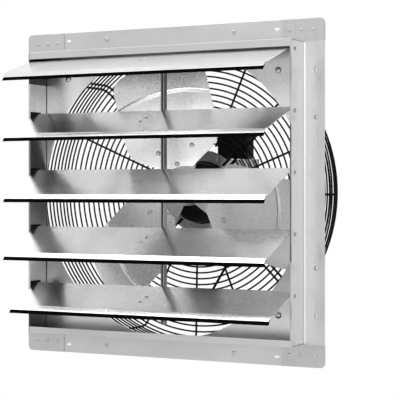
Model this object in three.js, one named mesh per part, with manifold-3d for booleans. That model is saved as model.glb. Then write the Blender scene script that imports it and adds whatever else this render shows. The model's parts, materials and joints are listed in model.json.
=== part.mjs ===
import * as THREE from 'three';
import { mergeVertices } from 'three/addons/utils/BufferGeometryUtils.js';
import Module from 'manifold-3d';

// Shutter exhaust fan for a wall opening.
// Millimetres. X runs right, Y runs back through the wall, Z runs up. The origin lies on the
// fan axis, at the back face of the wall flange, so the louvres face -Y and the motor faces +Y.

const wasm = await Module();
wasm.setup();

// Driving dimensions of the frame
const FLANGE_SIZE = 580;
const FLANGE_CORNER_RADIUS = 8;
const SHEET = 1.2;
const SIDE_FLANGE = 36;
const CROSS_FLANGE = 38.5;
const BOX_DEPTH = 58;
const TOP_LIP = 12.5;
const BOTTOM_LIP = 10.8;
const SIDE_LIP = 3.5;
const CORNER_TAB = 76;
const SLOT_WIDTH = 4.5;
const SLOT_LENGTH = 10;
const SLOT_FROM_CORNER = 86;
const CROSS_SLOT_EDGE = 15;
const SIDE_SLOT_EDGE = 16.2;
const CLEARANCE = 0.3;
const CUT_OVERRUN = 1;

// Driving dimensions of the fan panel
const PANEL_EDGE = 15;
const HOLE_EDGE = 20;
const BOLT_FROM_GUARD = 19.3;
const BOLT_RADIUS = 2.5;
const BOLT_HEAD_RADIUS = 5.5;
const BOLT_HEAD = 3.6;
const NUT_RADIUS = 5.4;
const NUT_HEIGHT = 4.5;
const BOLT_TAIL = 3;

// Driving dimensions of the louvres
const LOUVRE_COUNT = 5;
const PIVOT_FROM_FRONT = 14.2;
const TOP_PIVOT_DROP = 15.6;
const BOTTOM_PIVOT_RISE = 82.2;
const OPEN_ANGLES = [18.1, 20, 22.1, 21.5, 21.1];
const LOUVRE_END_GAP = 4.8;
const LOUVRE_SHEET = 0.8;
const LOUVRE_RISE = 3.4;
const LOUVRE_OVERLAP = 4.7;
const BOTTOM_OVERLAP = 2.8;
const LOUVRE_BACK = 9.5;
const LOUVRE_HEM = 4;
const LOUVRE_LIP = 10;
const LOUVRE_LIP_ANGLE = 27.5;
const LOUVRE_LIP_INSET = 3.5;
const EAR_DROP = 5;
const EAR_HALF = 7;
const PIN_RADIUS = 2.4;
const PIN_STICK_OUT = 1;
const SEAL_THICK = 2;
const SEAL_LAP = 5;
const SEAL_SHOW = 6.3;

// Driving dimensions of the linkage
const BAR_X = 1.9;
const BAR_WIDTH = 6.4;
const BAR_DEPTH = 11.6;
const BAR_SHEET = 1.2;
const BAR_TOP = 4.5;
const BAR_TAIL = 41;
const PIN_BEHIND = 20;
const PIN_BELOW = 18;
const LINK_PIN_RADIUS = 2.2;
const LINK_HEAD_RADIUS = 3.6;
const LINK_HEAD = 1.2;
const BRACKET_SHEET = 1.5;
const BRACKET_WIDTH = 9;
const BRACKET_START = 22;
const BRACKET_END = 64;
const BRACKET_BOSS_RADIUS = 5;

// Driving dimensions of the louvre bearings
const BEARING_THICK = 2.8;
const BEARING_DEPTH = 31.5;
const BEARING_FRONT_GAP = 0.6;
const BEARING_ABOVE = 10.5;
const BEARING_BELOW = 7;

// Driving dimensions of the fan
const BLADE_COUNT = 3;
const FIRST_BLADE_ANGLE = 104;
const BLADE_TIP_GAP = 17;
const BLADE_HALF_WIDTH = 80;
const BLADE_TIP_CORNER = 30;
const BLADE_ROOT_RADIUS = 48;
const BLADE_ROOT_HALF_WIDTH = 21;
const BLADE_SHOULDER_RADIUS = 112;
const BLADE_SHOULDER_ROUND = 8;
const BLADE_SHEET = 1.5;
const BLADE_PITCH_ANGLE = 20.6;
const BLADE_CAMBER = 8;
const BLADE_MIDDLE = 58.5;
const BEAD_FROM_TIP = 52;
const BEAD_FLAT = 1.5;
const BEAD_RAMP = 2.5;
const BEAD_HEIGHT = 1.8;
const BLADE_COLUMNS = 7;
const HUB_RADIUS = 24;
const HUB_FRONT = 48;
const HUB_BACK = 86;
const ARM_INNER_RADIUS = 20;
const ARM_OUTER_RADIUS = 98;
const ARM_INNER_HALF_WIDTH = 14;
const ARM_OUTER_HALF_WIDTH = 40;
const ARM_END_HALF_WIDTH = 30;
const ARM_ROUND = 8;
const ARM_SHEET = 2.5;
const SHAFT_RADIUS = 6.3;
const SHAFT_FRONT = 42;
const SHAFT_INSERT = 18;

// Driving dimensions of the wire guard
const WIRE_RADIUS = 1.6;
const RIM_WIRE_RADIUS = 2.2;
const SPOKE_RADIUS = 1.9;
const WELD_DEPTH = 0.9;
const SPOKE_END_GAP = 0.8;
const CAGE_SPLIT_SHARE = 0.5;
const GUARD_RIM_GAP = 17;
const GUARD_TAPER = 3;
const GUARD_BACK = 128;
const GUARD_CORNER_RADIUS = 16;
const GUARD_INNER_GAP = 8;
const GUARD_RING_COUNT = 10;
const RING_SEGMENTS = 32;
const SMALL_RING_RADIUS = 160;
const WIRE_SIDES = 4;

// Driving dimensions of the motor and what carries it
const ROD_RADIUS = 2.1;
const ROD_SPACING = 10;
const ROD_BEND_RADIUS = 5;
const ROD_SIDES = 6;
const ROD_END_LAP = 6;
const PLATE_SHEET = 2.5;
const PLATE_BORE_GAP = 3;
const PLATE_LAP = 2;
const MOTOR_NOSE = 26;
const MOTOR_NOSE_STEP = 14;
const MOTOR_NOSE_ROUND = 5;
const MOTOR_BOSS_RADIUS = 15;
const MOTOR_BOSS = 5;
const MOTOR_FLANGE_LAP = 7;
const MOTOR_FLANGE = 4;
const MOTOR_BODY_RADIUS = 69;
const MOTOR_BODY = 54;
const MOTOR_RIB = 1.8;
const MOTOR_RIB_COUNT = 3;
const REAR_BELL = 15;
const REAR_BELL_ROUND = 7;
const REAR_BOSS_RADIUS = 17;
const VENT_COUNT = 6;
const VENT_WIDTH = 6;
const VENT_DEPTH = 4;
const VENT_INNER_RADIUS = 26;
const VENT_EDGE = 13;

// Driving dimensions of the wiring box
const WIRING_BOX_ANGLE = 62.9;
const WIRING_BOX_WIDTH = 60;
const WIRING_BOX_HEIGHT = 68;
const WIRING_BOX_DEPTH = 30;
const WIRING_BOX_CORNER = 5;
const LID_SHEET = 2;
const LID_INSET = 3;
const LID_GAP = 0.6;
const ARM_BEYOND_BOX = 25;
const ARM_DROP = 22;
const SHELF_FROM_LEFT = 25;
const SHELF_WIDTH = 9;
const SHELF_DEPTH = 30;
const GLAND_FROM_RIGHT = 13;
const GLAND_RADIUS = 8.5;
const GLAND_BORE = 4.2;
const GLAND_LENGTH = 16;
const GLAND_NUT_RADIUS = 11;
const GLAND_NUT = 5;

// Counts and shares that shape the curves
const HOLE_SEGMENTS = 64;
const SMALL_SEGMENTS = 8;
const TURNED_SEGMENTS = 24;
const CORNER_STEPS = 2;
const BASKET_STEPS = 3;
const LOOP_STEPS = 5;
const HEX_SEGMENTS = 6;
const ARM_COLUMNS = 4;
const GUARD_SPOKE_SLOTS = 16;
const ROD_COUNT = 4;
const EIGHTH_TURN = Math.PI / 4;

// Derived places
const flangeHalf = FLANGE_SIZE / 2;
const boxHalf = flangeHalf - SIDE_FLANGE;
const boxRise = flangeHalf - CROSS_FLANGE;
const wallInside = boxHalf - SHEET;
const wallEnd = boxRise - SHEET - CLEARANCE;
const sidePlaneBack = -SHEET - CLEARANCE;
const panelFront = CLEARANCE;
const panelBack = panelFront + SHEET;
const panelHalf = flangeHalf - PANEL_EDGE;
const holeRadius = panelHalf - HOLE_EDGE;
const bladeTipRadius = holeRadius - BLADE_TIP_GAP;
const beadRadius = bladeTipRadius - BEAD_FROM_TIP;
const motorReach = MOTOR_BODY_RADIUS + MOTOR_RIB + CLEARANCE;
const motorNoseRadius = MOTOR_BODY_RADIUS - MOTOR_NOSE_STEP;
const motorFlangeRadius = MOTOR_BODY_RADIUS + MOTOR_FLANGE_LAP;
const plateInnerRadius = motorNoseRadius + PLATE_BORE_GAP;
const plateOuterRadius = motorFlangeRadius + PLATE_LAP;
const rodInnerRadius = plateInnerRadius + ROD_END_LAP;
const guardInnerRadius = plateOuterRadius + GUARD_INNER_GAP;
const ventOuterRadius = MOTOR_BODY_RADIUS - VENT_EDGE;
const guardRimRadius = holeRadius + GUARD_RIM_GAP;
const guardBackRadius = guardRimRadius - GUARD_TAPER;
const boltRadius = guardRimRadius + BOLT_FROM_GUARD;
const topPivotHeight = boxRise - TOP_PIVOT_DROP;
const bottomPivotHeight = BOTTOM_PIVOT_RISE - boxRise;
const pivotPitch = (topPivotHeight - bottomPivotHeight) / (LOUVRE_COUNT - 1);
const pivotY = -BOX_DEPTH + PIVOT_FROM_FRONT;
const louvreHalf = wallInside - LOUVRE_END_GAP;
const rimY = panelBack + CLEARANCE + RIM_WIRE_RADIUS;
const rodBackY = GUARD_BACK + WIRE_RADIUS + CLEARANCE + ROD_RADIUS;
const rodPanelY = panelBack + CLEARANCE + ROD_RADIUS;
const plateFront = rodBackY + ROD_RADIUS + CLEARANCE;
const plateBack = plateFront + PLATE_SHEET;
const motorFlangeFront = plateBack + CLEARANCE;
const motorBodyFront = motorFlangeFront + MOTOR_FLANGE + CLEARANCE;
const motorBodyBack = motorBodyFront + MOTOR_BODY;
const motorNoseFront = motorFlangeFront - MOTOR_NOSE;
const linkY = pivotY + PIN_BEHIND;
const radians = THREE.MathUtils.degToRad;
const wiringBoxReach = motorReach + WIRING_BOX_CORNER + LID_GAP;
const wiringBoxInner = WIRING_BOX_CORNER + LID_INSET;
const wiringBoxLeft = wiringBoxReach * Math.cos(radians(WIRING_BOX_ANGLE)) - wiringBoxInner;
const wiringBoxBottom = wiringBoxReach * Math.sin(radians(WIRING_BOX_ANGLE)) - wiringBoxInner;
const wiringBoxRight = wiringBoxLeft + WIRING_BOX_WIDTH;

// A closed geometry becomes a solid that can be joined and cut.
function solidOf(geometry) {
  const bare = geometry.index ? geometry.toNonIndexed() : geometry.clone();
  bare.deleteAttribute('normal');
  bare.deleteAttribute('uv');
  const merged = mergeVertices(bare);
  const mesh = new wasm.Mesh({
    numProp: 3,
    vertProperties: new Float32Array(merged.attributes.position.array),
    triVerts: new Uint32Array(merged.index.array),
  });
  return new wasm.Manifold(mesh);
}

// A finished solid goes back to a geometry for its mesh.
function geometryOf(solid) {
  const mesh = solid.getMesh();
  const geometry = new THREE.BufferGeometry();
  geometry.setAttribute('position', new THREE.BufferAttribute(mesh.vertProperties, mesh.numProp));
  geometry.setIndex(new THREE.BufferAttribute(mesh.triVerts, 1));
  geometry.computeVertexNormals();
  return geometry;
}

function joined(solids) {
  return solids.reduce((whole, next) => whole.add(next));
}

function cutBy(solid, tools) {
  return tools.reduce((rest, tool) => rest.subtract(tool), solid);
}

function shapeFrom(points) {
  return new THREE.Shape(points.map(([across, up]) => new THREE.Vector2(across, up)));
}

function extruded(shape, depth) {
  return new THREE.ExtrudeGeometry(shape, { depth, bevelEnabled: false, curveSegments: CORNER_STEPS });
}

// An outline in Y and Z is drawn out along X.
function alongX(shape, from, to) {
  const geometry = extruded(shape, to - from);
  const turn = new THREE.Matrix4().makeBasis(
    new THREE.Vector3(0, 1, 0), new THREE.Vector3(0, 0, 1), new THREE.Vector3(1, 0, 0));
  return solidOf(geometry.applyMatrix4(turn).translate(from, 0, 0));
}

// An outline in X and Z is drawn out along Y.
function alongY(shape, from, to) {
  const geometry = extruded(shape, to - from);
  const turn = new THREE.Matrix4().makeBasis(
    new THREE.Vector3(1, 0, 0), new THREE.Vector3(0, 0, 1), new THREE.Vector3(0, -1, 0));
  return solidOf(geometry.applyMatrix4(turn).translate(0, to, 0));
}

// An outline in X and Y is drawn out along Z.
function alongZ(shape, from, to) {
  return solidOf(extruded(shape, to - from).translate(0, 0, from));
}

// A profile of radius and Y is turned about the fan axis.
function turned(profile, segments = TURNED_SEGMENTS) {
  const closed = [...profile, profile[0]];
  const points = closed.map(([radius, y]) => new THREE.Vector2(radius, y));
  return solidOf(new THREE.LatheGeometry(points, segments));
}

function rodAlongX(radius, from, to, y, z, segments = SMALL_SEGMENTS) {
  const rod = new THREE.CylinderGeometry(radius, radius, to - from, segments);
  return solidOf(rod.rotateZ(-Math.PI / 2).translate((from + to) / 2, y, z));
}

function rodAlongY(radius, from, to, x, z, segments = SMALL_SEGMENTS) {
  const rod = new THREE.CylinderGeometry(radius, radius, to - from, segments);
  return solidOf(rod.translate(x, (from + to) / 2, z));
}

// The outline of a thin bent sheet: the path is its left face, and the sheet lies to its right.
function bentSheet(path, thickness) {
  const turns = path.map((point, i) => {
    const before = new THREE.Vector2(...(path[i - 1] ?? point));
    const here = new THREE.Vector2(...point);
    const after = new THREE.Vector2(...(path[i + 1] ?? point));
    const arriving = here.clone().sub(before).normalize();
    const leaving = after.clone().sub(here).normalize();
    const first = i === 0 ? leaving : arriving;
    const second = i === path.length - 1 ? arriving : leaving;
    const mitre = new THREE.Vector2(first.y + second.y, -first.x - second.x).normalize();
    const reach = thickness / (mitre.x * first.y - mitre.y * first.x);
    return [here.x + mitre.x * reach, here.y + mitre.y * reach];
  });
  return [...path, ...turns.reverse()];
}

function mirrored(points, signAcross, signUp) {
  return points.map(([across, up]) => [across * signAcross, up * signUp]);
}

function rectangle(left, right, bottom, top) {
  return shapeFrom([[left, bottom], [right, bottom], [right, top], [left, top]]);
}

function roundedRectangle(left, right, bottom, top, radius) {
  const shape = new THREE.Shape();
  shape.absarc(right - radius, top - radius, radius, 0, Math.PI / 2);
  shape.absarc(left + radius, top - radius, radius, Math.PI / 2, Math.PI);
  shape.absarc(left + radius, bottom + radius, radius, Math.PI, Math.PI * 3 / 2);
  shape.absarc(right - radius, bottom + radius, radius, Math.PI * 3 / 2, Math.PI * 2);
  return shape;
}

function circlePath(x, z, radius, segments) {
  const path = new THREE.Path();
  const points = Array.from({ length: segments }, (_, i) => {
    const angle = Math.PI * 2 * i / segments;
    return new THREE.Vector2(x + radius * Math.cos(angle), z + radius * Math.sin(angle));
  });
  return path.setFromPoints(points);
}

// A route through given points, for a wire or rod that is drawn along it step by step.
class Route extends THREE.Curve {
  constructor(points) {
    super();
    this.points = points;
  }

  getPoint(t, target = new THREE.Vector3()) {
    const last = this.points.length - 1;
    const place = Math.min(Math.max(t, 0), 1) * last;
    const index = Math.min(Math.floor(place), last - 1);
    return target.lerpVectors(this.points[index], this.points[index + 1], place - index);
  }

  getPointAt(u, target) {
    return this.getPoint(u, target);
  }

  getTangentAt(u, target) {
    return this.getTangent(u, target);
  }
}

function drawnAlong(points, radius, sides) {
  const section = new THREE.Shape(circlePath(0, 0, radius, sides).getPoints());
  const steps = points.length - 1;
  return solidOf(new THREE.ExtrudeGeometry(section, { steps, extrudePath: new Route(points) }));
}

const fan = new THREE.Group();
const parts = new THREE.Group();
fan.add(parts);

function addMesh(name, solid, material, parent = parts) {
  const mesh = new THREE.Mesh(geometryOf(solid), material);
  mesh.name = name;
  parent.add(mesh);
  return mesh;
}

// Finishes
const finish = (color, metalness, roughness) => new THREE.MeshStandardMaterial({ color, metalness, roughness });
const frameFinish = () => finish(0xd4d6d8, 0.9, 0.35);
const louvreFinish = () => finish(0xdcdedf, 0.95, 0.22);
const bladeFinish = () => finish(0xd9dbdc, 0.85, 0.4);
const sealFinish = () => finish(0x101010, 0, 0.9);
const blackPlastic = () => finish(0x151515, 0, 0.6);
const blackWire = () => finish(0x121212, 0.2, 0.45);
const motorBlack = () => finish(0x18191a, 0.3, 0.5);
const castMetal = () => finish(0x9fa2a4, 0.8, 0.45);
const steel = () => finish(0xb7babd, 0.9, 0.3);

// Frame: four bent sheet members. The side members lie in front at the corners, where their
// tabs lap over the top and bottom flanges and are riveted to them.
function slotShape(x, z, upright) {
  const halfWidth = SLOT_WIDTH / 2;
  const halfLength = SLOT_LENGTH / 2;
  const reachX = upright ? halfWidth : halfLength;
  const reachZ = upright ? halfLength : halfWidth;
  return roundedRectangle(x - reachX, x + reachX, z - reachZ, z + reachZ, halfWidth);
}

function slotCut(x, z, upright) {
  return alongY(slotShape(x, z, upright), sidePlaneBack - SHEET - CUT_OVERRUN, CUT_OVERRUN);
}

function crossMember(lip, up) {
  const front = -BOX_DEPTH;
  const profile = [[front, boxRise - lip], [front, boxRise], [-SHEET, boxRise], [-SHEET, flangeHalf]];
  const whole = shapeFrom(mirrored(bentSheet(profile, SHEET), 1, up));
  const wall = shapeFrom(mirrored(bentSheet(profile.slice(1), SHEET), 1, up));
  const lipEnd = wallInside - CLEARANCE;
  const strip = roundedRectangle(-flangeHalf, flangeHalf, -flangeHalf, flangeHalf, FLANGE_CORNER_RADIUS);
  const inner = shapeFrom([
    [-flangeHalf - CUT_OVERRUN, flangeHalf + CUT_OVERRUN], [-flangeHalf - CUT_OVERRUN, boxRise],
    [flangeHalf + CUT_OVERRUN, boxRise], [flangeHalf + CUT_OVERRUN, flangeHalf + CUT_OVERRUN],
  ].map(([x, z]) => [x, z * up]));
  const flange = alongY(strip, -SHEET, 0).intersect(alongY(inner, -SHEET - CUT_OVERRUN, CUT_OVERRUN));
  const bent = joined([alongX(whole, -lipEnd, lipEnd), alongX(wall, -boxHalf, boxHalf), flange]);
  const slotZ = (flangeHalf - CROSS_SLOT_EDGE) * up;
  const slotX = flangeHalf - SLOT_FROM_CORNER;
  return cutBy(bent, [slotCut(-slotX, slotZ, false), slotCut(slotX, slotZ, false)]);
}

function sideFlange(side) {
  const tabInner = flangeHalf - CORNER_TAB;
  const tabFoot = boxRise + CLEARANCE;
  const whole = roundedRectangle(-flangeHalf, flangeHalf, -flangeHalf, flangeHalf, FLANGE_CORNER_RADIUS);
  const keep = shapeFrom([
    [tabInner, flangeHalf + CUT_OVERRUN], [tabInner, tabFoot], [boxHalf + CLEARANCE, tabFoot],
    [boxHalf + CLEARANCE, -tabFoot], [tabInner, -tabFoot], [tabInner, -flangeHalf - CUT_OVERRUN],
    [flangeHalf + CUT_OVERRUN, -flangeHalf - CUT_OVERRUN], [flangeHalf + CUT_OVERRUN, flangeHalf + CUT_OVERRUN],
  ].map(([x, z]) => [x * side, z]));
  const front = sidePlaneBack - SHEET;
  const kept = alongY(keep, front - CUT_OVERRUN, sidePlaneBack + CUT_OVERRUN);
  return alongY(whole, front, sidePlaneBack).intersect(kept);
}

function sideMember(side) {
  const front = -BOX_DEPTH;
  const flangeY = sidePlaneBack - SHEET;
  const profile = [[flangeHalf, flangeY], [boxHalf, flangeY], [boxHalf, front], [boxHalf - SIDE_LIP, front]];
  const whole = shapeFrom(mirrored(bentSheet(profile, SHEET), side, 1));
  const wall = shapeFrom(mirrored(bentSheet(profile.slice(0, -1), SHEET), side, 1));
  const lipTop = boxRise - TOP_LIP - CLEARANCE;
  const lipBottom = -boxRise + BOTTOM_LIP + CLEARANCE;
  const bent = joined([alongZ(whole, lipBottom, lipTop), alongZ(wall, -wallEnd, wallEnd), sideFlange(side)]);
  const slotX = (flangeHalf - SIDE_SLOT_EDGE) * side;
  const slotZ = flangeHalf - SLOT_FROM_CORNER;
  const slots = [slotCut(slotX, slotZ, true), slotCut(slotX, -slotZ, true)];
  const pinHoleRadius = PIN_RADIUS + CLEARANCE;
  const holes = pivotHeights().map((z) => rodAlongX(
    pinHoleRadius, ...ordered(side * (wallInside - CUT_OVERRUN), side * (boxHalf + CUT_OVERRUN)), pivotY, z));
  return cutBy(bent, [...slots, ...holes]);
}

function ordered(first, second) {
  return [Math.min(first, second), Math.max(first, second)];
}

function pivotHeights() {
  return Array.from({ length: LOUVRE_COUNT }, (_, i) => topPivotHeight - pivotPitch * i);
}

function addFrame() {
  addMesh('frame_top', crossMember(TOP_LIP, 1), frameFinish());
  addMesh('frame_bottom', crossMember(BOTTOM_LIP, -1), frameFinish());
  addMesh('frame_left', sideMember(-1), frameFinish());
  addMesh('frame_right', sideMember(1), frameFinish());
}

// Fan panel: a flat sheet behind the flanges, with the round air hole and a bolt near each corner.
function boltPlaces() {
  const offset = boltRadius * Math.cos(EIGHTH_TURN);
  return [[1, 1], [-1, 1], [-1, -1], [1, -1]].map(([x, z]) => [x * offset, z * offset]);
}

function addPanel() {
  const shape = rectangle(-panelHalf, panelHalf, -panelHalf, panelHalf);
  shape.holes.push(circlePath(0, 0, holeRadius, HOLE_SEGMENTS));
  for (const [x, z] of boltPlaces()) {
    shape.holes.push(circlePath(x, z, BOLT_RADIUS + CLEARANCE, SMALL_SEGMENTS));
  }
  addMesh('fan_panel', alongY(shape, panelFront, panelBack), frameFinish());
}

function addPanelBolts() {
  const headBack = panelFront - CLEARANCE;
  const nutFront = rodPanelY + ROD_RADIUS + CLEARANCE;
  const nutBack = nutFront + NUT_HEIGHT;
  boltPlaces().forEach(([x, z], i) => {
    const head = rodAlongY(BOLT_HEAD_RADIUS, headBack - BOLT_HEAD, headBack, x, z);
    const shank = rodAlongY(BOLT_RADIUS, headBack - BOLT_HEAD / 2, nutBack + BOLT_TAIL, x, z);
    const nut = rodAlongY(NUT_RADIUS, nutFront, nutBack, x, z, HEX_SEGMENTS);
    addMesh(`panel_bolt_${i + 1}`, joined([head, shank, nut]), steel());
  });
}

// Louvres: each is one bent sheet with a hem at the back, a lip at the front and an ear with a
// pivot pin at each end. Its own frame has the pivot at the origin and the sheet level.
function louvreProfile(chord) {
  const top = LOUVRE_RISE + LOUVRE_SHEET;
  const lipAngle = radians(LOUVRE_LIP_ANGLE);
  const lipEnd = [-chord - LOUVRE_LIP * Math.cos(lipAngle), top - LOUVRE_LIP * Math.sin(lipAngle)];
  return { hem: [LOUVRE_BACK, top - LOUVRE_HEM], back: [LOUVRE_BACK, top], fold: [-chord, top], lipEnd };
}

function louvreEar(side) {
  const top = LOUVRE_RISE + LOUVRE_SHEET / 2;
  const shape = shapeFrom([
    [-EAR_HALF, top], [-EAR_HALF / 2, -EAR_DROP], [EAR_HALF / 2, -EAR_DROP], [EAR_HALF, top]]);
  const inner = louvreHalf - LOUVRE_SHEET;
  const ear = alongX(shape, ...ordered(side * inner, side * louvreHalf));
  const pin = rodAlongX(PIN_RADIUS, ...ordered(side * inner, side * (boxHalf + PIN_STICK_OUT)), 0, 0);
  return ear.add(pin);
}

function louvreSolid(chord) {
  const { hem, back, fold, lipEnd } = louvreProfile(chord);
  const sheet = alongX(shapeFrom(bentSheet([fold, back, hem], LOUVRE_SHEET)), -louvreHalf, louvreHalf);
  const lipHalf = louvreHalf - LOUVRE_LIP_INSET;
  const lip = alongX(shapeFrom(bentSheet([lipEnd, fold, back], LOUVRE_SHEET)), -lipHalf, lipHalf);
  return joined([sheet, lip, louvreEar(-1), louvreEar(1)]);
}

// The seal is a soft strip behind the lip that shows below it.
function sealSolid(chord) {
  const { lipEnd } = louvreProfile(chord);
  const lipAngle = radians(LOUVRE_LIP_ANGLE);
  const along = new THREE.Vector2(-Math.cos(lipAngle), -Math.sin(lipAngle));
  const across = new THREE.Vector2(Math.sin(lipAngle), -Math.cos(lipAngle));
  const near = LOUVRE_SHEET + CLEARANCE;
  const corner = (reach, depth) => [
    lipEnd[0] + along.x * reach + across.x * depth, lipEnd[1] + along.y * reach + across.y * depth];
  const far = near + SEAL_THICK;
  const outline = shapeFrom([
    corner(-SEAL_LAP, near), corner(SEAL_SHOW, near), corner(SEAL_SHOW, far), corner(-SEAL_LAP, far)]);
  const half = louvreHalf - LOUVRE_LIP_INSET;
  return alongX(outline, -half, half);
}

// The bracket is riveted under the louvre and reaches back and down to the tie bar.
function bracketSolid(open) {
  const pinY = PIN_BEHIND * Math.cos(open) - PIN_BELOW * Math.sin(open);
  const pinZ = -PIN_BEHIND * Math.sin(open) - PIN_BELOW * Math.cos(open);
  const top = LOUVRE_RISE - CLEARANCE;
  const foot = top - BRACKET_SHEET;
  const barLeft = BAR_X - BAR_WIDTH / 2;
  const barRight = BAR_X + BAR_WIDTH / 2;
  const webRight = barLeft - CLEARANCE;
  const webLeft = webRight - BRACKET_SHEET;
  const plate = alongX(
    shapeFrom([[-BRACKET_END, foot], [-BRACKET_START, foot], [-BRACKET_START, top], [-BRACKET_END, top]]),
    webRight - BRACKET_WIDTH, webRight);
  const lean = EIGHTH_TURN;
  const bossFront = [pinY - BRACKET_BOSS_RADIUS * Math.cos(lean), pinZ - BRACKET_BOSS_RADIUS * Math.sin(lean)];
  const bossBack = [pinY + BRACKET_BOSS_RADIUS * Math.cos(lean), pinZ + BRACKET_BOSS_RADIUS * Math.sin(lean)];
  const web = alongX(
    shapeFrom([[-BRACKET_END, top], [-BRACKET_END, foot], bossFront, bossBack, [-BRACKET_START, foot],
      [-BRACKET_START, top]]), webLeft, webRight);
  const boss = rodAlongX(BRACKET_BOSS_RADIUS, webLeft, webRight, pinY, pinZ);
  const headLeft = barRight + CLEARANCE;
  const pin = rodAlongX(LINK_PIN_RADIUS, webLeft, headLeft + LINK_HEAD, pinY, pinZ);
  const head = rodAlongX(LINK_HEAD_RADIUS, headLeft, headLeft + LINK_HEAD, pinY, pinZ);
  return joined([plate, web, boss, pin, head]);
}

function addLouvres() {
  pivotHeights().forEach((z, i) => {
    const number = i + 1;
    const open = radians(OPEN_ANGLES[i % OPEN_ANGLES.length]);
    const chord = number === LOUVRE_COUNT ? BOTTOM_PIVOT_RISE + BOTTOM_OVERLAP : pivotPitch + LOUVRE_OVERLAP;
    const hinge = new THREE.Group();
    hinge.position.set(0, pivotY, z);
    hinge.rotation.x = open;
    parts.add(hinge);
    addMesh(`louvre_${number}`, louvreSolid(chord), louvreFinish(), hinge);
    addMesh(`louvre_seal_${number}`, sealSolid(chord), sealFinish(), hinge);
    addMesh(`louvre_bracket_${number}`, bracketSolid(open), steel(), hinge);
  });
}

// The tie bar is a small channel, open to the front, with a pair of holes at each louvre's pin.
function addTieBar() {
  const half = BAR_WIDTH / 2;
  const front = -BAR_DEPTH / 2;
  const back = BAR_DEPTH / 2;
  const profile = [[-half, front], [-half, back], [half, back], [half, front]];
  const channel = shapeFrom(bentSheet(profile, BAR_SHEET));
  const lowest = bottomPivotHeight - topPivotHeight;
  const bar = alongZ(channel, lowest - BAR_TAIL, BAR_TOP);
  const holes = pivotHeights().map((_, i) => rodAlongX(
    LINK_PIN_RADIUS + CLEARANCE, -half - CUT_OVERRUN, half + CUT_OVERRUN, 0, -pivotPitch * i));
  const mesh = addMesh('tie_bar', cutBy(bar, holes), frameFinish());
  mesh.position.set(BAR_X, linkY, topPivotHeight - PIN_BELOW);
}

// A plastic bearing plate sits inside the wall at each end of each louvre.
function addBearings() {
  const front = -BOX_DEPTH + SHEET + BEARING_FRONT_GAP;
  const outer = wallInside - CLEARANCE;
  const inner = outer - BEARING_THICK;
  [['left', -1], ['right', 1]].forEach(([label, side]) => {
    pivotHeights().forEach((z, i) => {
      const outline = rectangle(front, front + BEARING_DEPTH, z - BEARING_BELOW, z + BEARING_ABOVE);
      const plate = alongX(outline, ...ordered(side * inner, side * outer));
      const through = ordered(side * (inner - CUT_OVERRUN), side * (outer + CUT_OVERRUN));
      const bore = rodAlongX(PIN_RADIUS + CLEARANCE, ...through, pivotY, z);
      addMesh(`bearing_${label}_${i + 1}`, plate.subtract(bore), blackPlastic());
    });
  });
}

// Fan blades. A blade is a pressed plate: rows follow arcs about the fan axis, columns run
// across the width, and the plate leans by the pitch angle with a shallow hollow to the front.
function bladeHalfAngle(radius) {
  const cornerT = BLADE_HALF_WIDTH - BLADE_TIP_CORNER;
  const cornerReach = bladeTipRadius - BLADE_TIP_CORNER;
  const cornerX = Math.sqrt(cornerReach ** 2 - cornerT ** 2);
  const cornerStart = Math.hypot(cornerX, BLADE_HALF_WIDTH);
  if (radius > cornerStart) {
    const cosine = (radius ** 2 + cornerReach ** 2 - BLADE_TIP_CORNER ** 2) / (2 * cornerReach * radius);
    return Math.atan2(cornerT, cornerX) + Math.acos(Math.min(cosine, 1));
  }
  const rise = (BLADE_HALF_WIDTH - BLADE_ROOT_HALF_WIDTH) / (BLADE_SHOULDER_RADIUS - BLADE_ROOT_RADIUS);
  const taper = BLADE_ROOT_HALF_WIDTH + rise * (radius - BLADE_ROOT_RADIUS);
  const excess = taper - BLADE_HALF_WIDTH;
  const rounding = BLADE_SHOULDER_ROUND * Math.log(1 + Math.exp(excess / BLADE_SHOULDER_ROUND));
  return Math.asin((taper - rounding) / radius);
}

function bladeHeight(tangent) {
  const share = tangent / BLADE_HALF_WIDTH;
  return BLADE_MIDDLE + tangent * Math.tan(radians(BLADE_PITCH_ANGLE)) + BLADE_CAMBER * (1 - share ** 2);
}

function beadHeight(radius) {
  const away = Math.abs(radius - beadRadius) - BEAD_FLAT;
  return BEAD_HEIGHT * (1 - Math.min(Math.max(away / BEAD_RAMP, 0), 1));
}

// A flat grid becomes a curved plate: its rows get the given radii and its columns the angles.
function pressedPlate(radii, halfAngle, columns, thickness, heightAt) {
  const geometry = new THREE.BoxGeometry(1, 1, 1, radii.length - 1, 1, columns);
  const position = geometry.attributes.position;
  for (let i = 0; i < position.count; i += 1) {
    const row = Math.round((position.getX(i) + 1 / 2) * (radii.length - 1));
    const across = position.getZ(i) * 2;
    const radius = radii[row];
    const angle = across * halfAngle(radius);
    const tangent = -radius * Math.sin(angle);
    const y = heightAt(radius, tangent) + position.getY(i) * thickness;
    position.setXYZ(i, radius * Math.cos(angle), y, -tangent);
  }
  return solidOf(geometry);
}

function bladeSolid() {
  const beadEdge = BEAD_FLAT + BEAD_RAMP;
  const span = bladeTipRadius - BLADE_ROOT_RADIUS;
  const spreadShares = [0, 0.12, 0.24, 0.31, 0.38, 0.47, 0.6, 0.84, 0.92, 0.97, 1];
  const spread = spreadShares.map((share) => BLADE_ROOT_RADIUS + span * share);
  const bead = [-beadEdge, -BEAD_FLAT, BEAD_FLAT, beadEdge].map((step) => beadRadius + step);
  const radii = [...spread, ...bead].sort((first, second) => first - second);
  const heightAt = (radius, tangent) => bladeHeight(tangent) - beadHeight(radius);
  return pressedPlate(radii, bladeHalfAngle, BLADE_COLUMNS, BLADE_SHEET, heightAt);
}

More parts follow.
